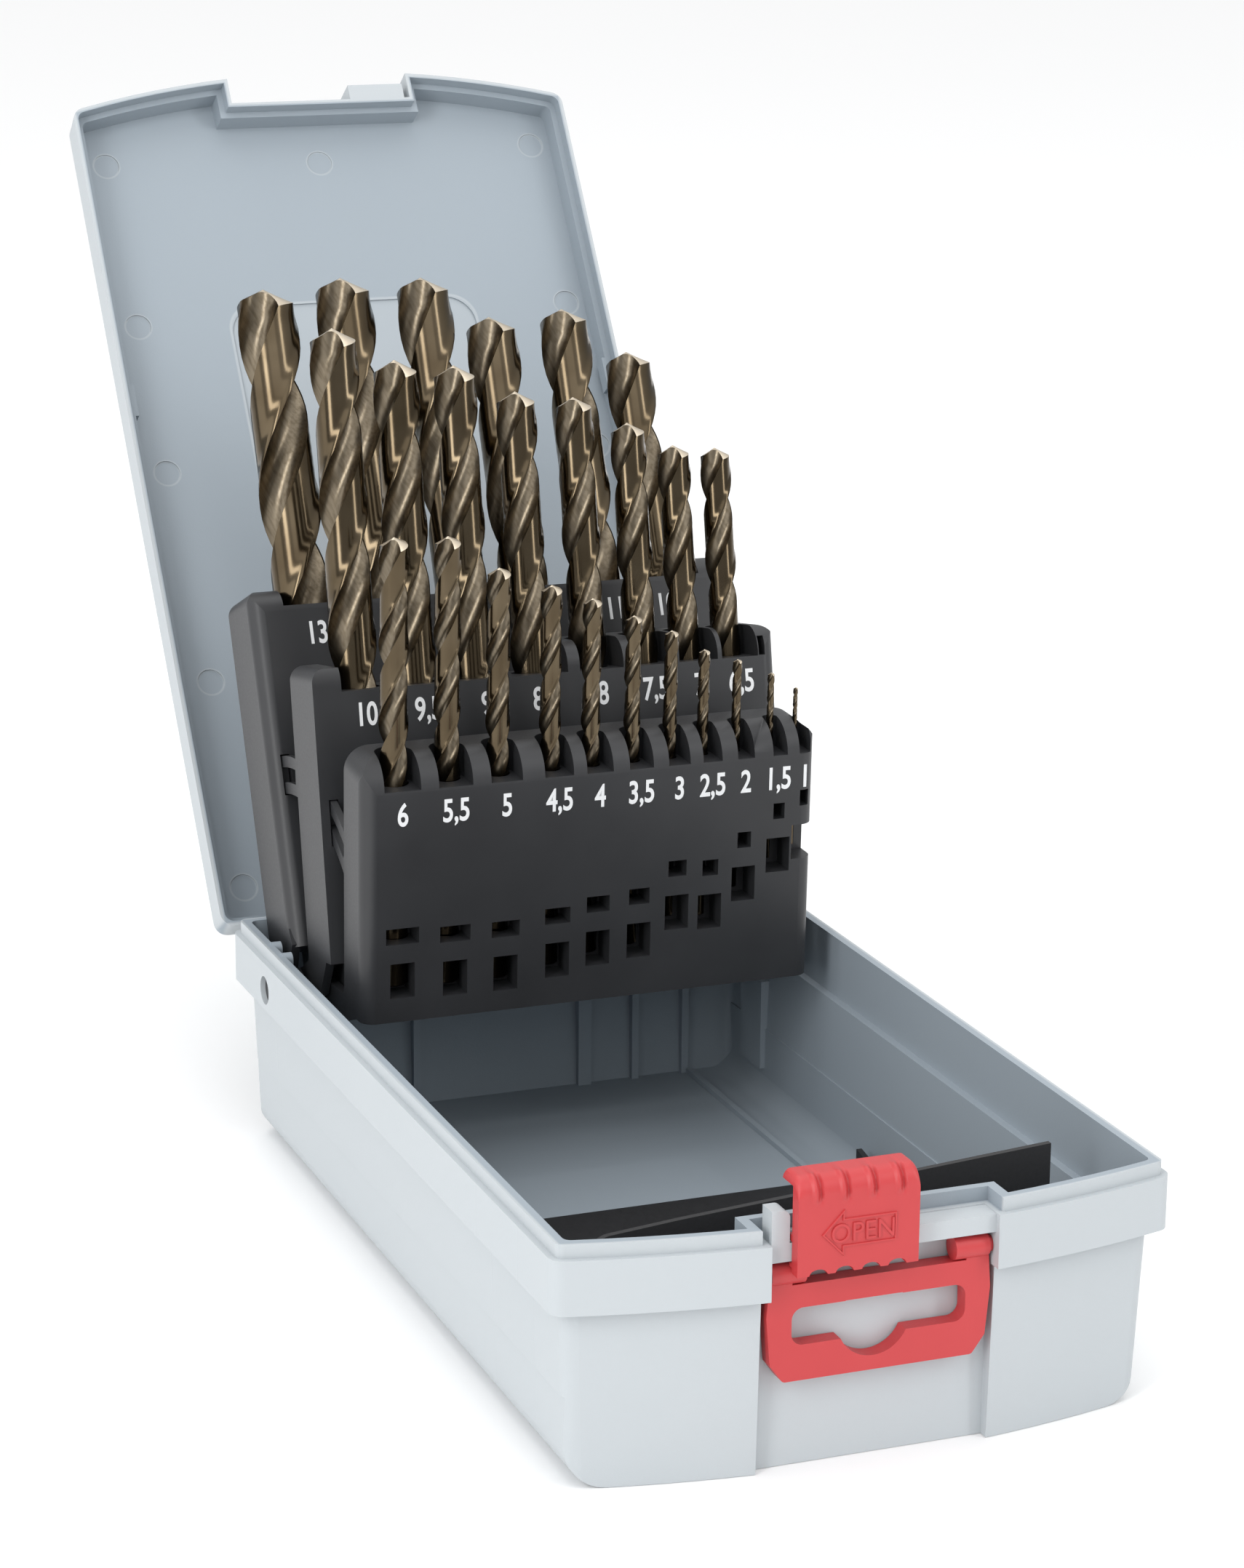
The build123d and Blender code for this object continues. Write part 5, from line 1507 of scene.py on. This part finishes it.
@dataclass(frozen=True)
class Viewpoint:
    """The camera."""

    azimuth_deg: float = -21.286
    elevation_deg: float = 16.35
    roll_deg: float = 0.429
    place: Place = (-0.28268, -0.69950, 0.30907)
    lens_mm: float = 93.585
    shift_x: float = -0.00071
    shift_y: float = 0.03279
    sensor_mm: float = 36.0
    clip: tuple[float, float] = (0.01, 20.0)

    def build(self) -> None:
        """Place the camera and make it the scene's own."""
        turn = math.radians(self.azimuth_deg)
        rise = math.radians(self.elevation_deg)
        roll = math.radians(self.roll_deg)
        back = Vector(
            (math.sin(turn) * math.cos(rise), -math.cos(turn) * math.cos(rise), math.sin(rise))
        )
        right = Vector((math.cos(turn), math.sin(turn), 0.0))
        up = back.cross(right)
        rolled_right = right * math.cos(roll) + up * math.sin(roll)
        rolled_up = up * math.cos(roll) - right * math.sin(roll)
        lens = bpy.data.cameras.new("camera")
        lens.lens = self.lens_mm
        lens.sensor_width = self.sensor_mm
        lens.sensor_fit = "AUTO"
        lens.shift_x = self.shift_x
        lens.shift_y = self.shift_y
        lens.clip_start, lens.clip_end = self.clip
        camera = bpy.data.objects.new("camera", lens)
        bpy.context.scene.collection.objects.link(camera)
        turned = Matrix((rolled_right, rolled_up, back)).transposed().to_4x4()
        camera.matrix_world = Matrix.Translation(self.place) @ turned
        bpy.context.scene.camera = camera


@dataclass
class Studio:
    """Pale floor, soft lamps, pale surroundings and the camera."""

    floor_half: float = 6.0
    floor_gap: float = 0.0001
    sky_strength: float = 1.35
    sky: tuple[tuple[float, Colour], ...] = (
        (0.0, (0.22, 0.225, 0.23)),
        (0.5, (0.24, 0.245, 0.25)),
        (0.74, (0.66, 0.665, 0.67)),
        (1.0, (1.0, 1.0, 1.0)),
    )
    # name, place, target, width, height, watts
    lamps: tuple[SoftLight, ...] = (
        SoftLight("left", (-1.15, -0.75, 0.70), (0.0, 0.0, 0.40), 0.34, 1.30, 10.0),
        SoftLight("side", (-1.60, 0.25, 0.55), (0.0, 0.0, 0.05), 1.00, 1.00, 4.0),
        SoftLight("right", (0.95, -0.95, 0.70), (0.0, 0.0, 0.40), 0.24, 1.30, 5.5),
        SoftLight("front", (-0.25, -1.4, 1.2), (0.0, 0.05, 0.05), 1.20, 1.20, 3.0),
        SoftLight("top", (0.0, 0.25, 1.5), (0.0, 0.0, 0.0), 1.1, 1.1, 4.0),
    )

    def lay_floor(self) -> None:
        """Lay the floor just under the case."""
        half = self.floor_half
        corners = ((-half, -half, 0.0), (half, -half, 0.0), (half, half, 0.0), (-half, half, 0.0))
        floor = mesh_object("floor", corners, ((0, 1, 2, 3),), (PaleFloor().material(),))
        floor.location.z = -self.floor_gap

    def surround(self) -> None:
        """Make the surroundings, darker below and white overhead."""
        world = bpy.data.worlds.new("surroundings")
        bpy.context.scene.world = world
        world.use_nodes = True
        graph = Graph(world.node_tree)
        _, _, height = graph.axes(graph.out(graph.node("ShaderNodeTexCoord"), "Generated"))
        ramp = graph.node("ShaderNodeValToRGB", {"stops": self.sky}, {"Fac": height * 0.5 + 0.5})
        light = {"Color": graph.out(ramp, 0), "Strength": self.sky_strength}
        shell = graph.node("ShaderNodeBackground", None, light)
        output = graph.node("ShaderNodeOutputWorld")
        world.node_tree.links.new(shell.outputs[0], output.inputs["Surface"])

    def build(self) -> None:
        """Set the stage."""
        bpy.context.scene.view_settings.view_transform = "Standard"
        Viewpoint().build()
        for lamp in self.lamps:
            lamp.build()
        self.lay_floor()
        self.surround()
        LOG.info("set the stage with %d lamps", len(self.lamps))


def main() -> None:
    """Build the scene piece by piece."""
    logging.basicConfig(level=logging.INFO, format="%(message)s")
    Studio().build()
    Case().build()
    Racks().build()
    LatchAndHandle().build()
    LOG.info("scene is complete")


if __name__ == "__main__":
    main()
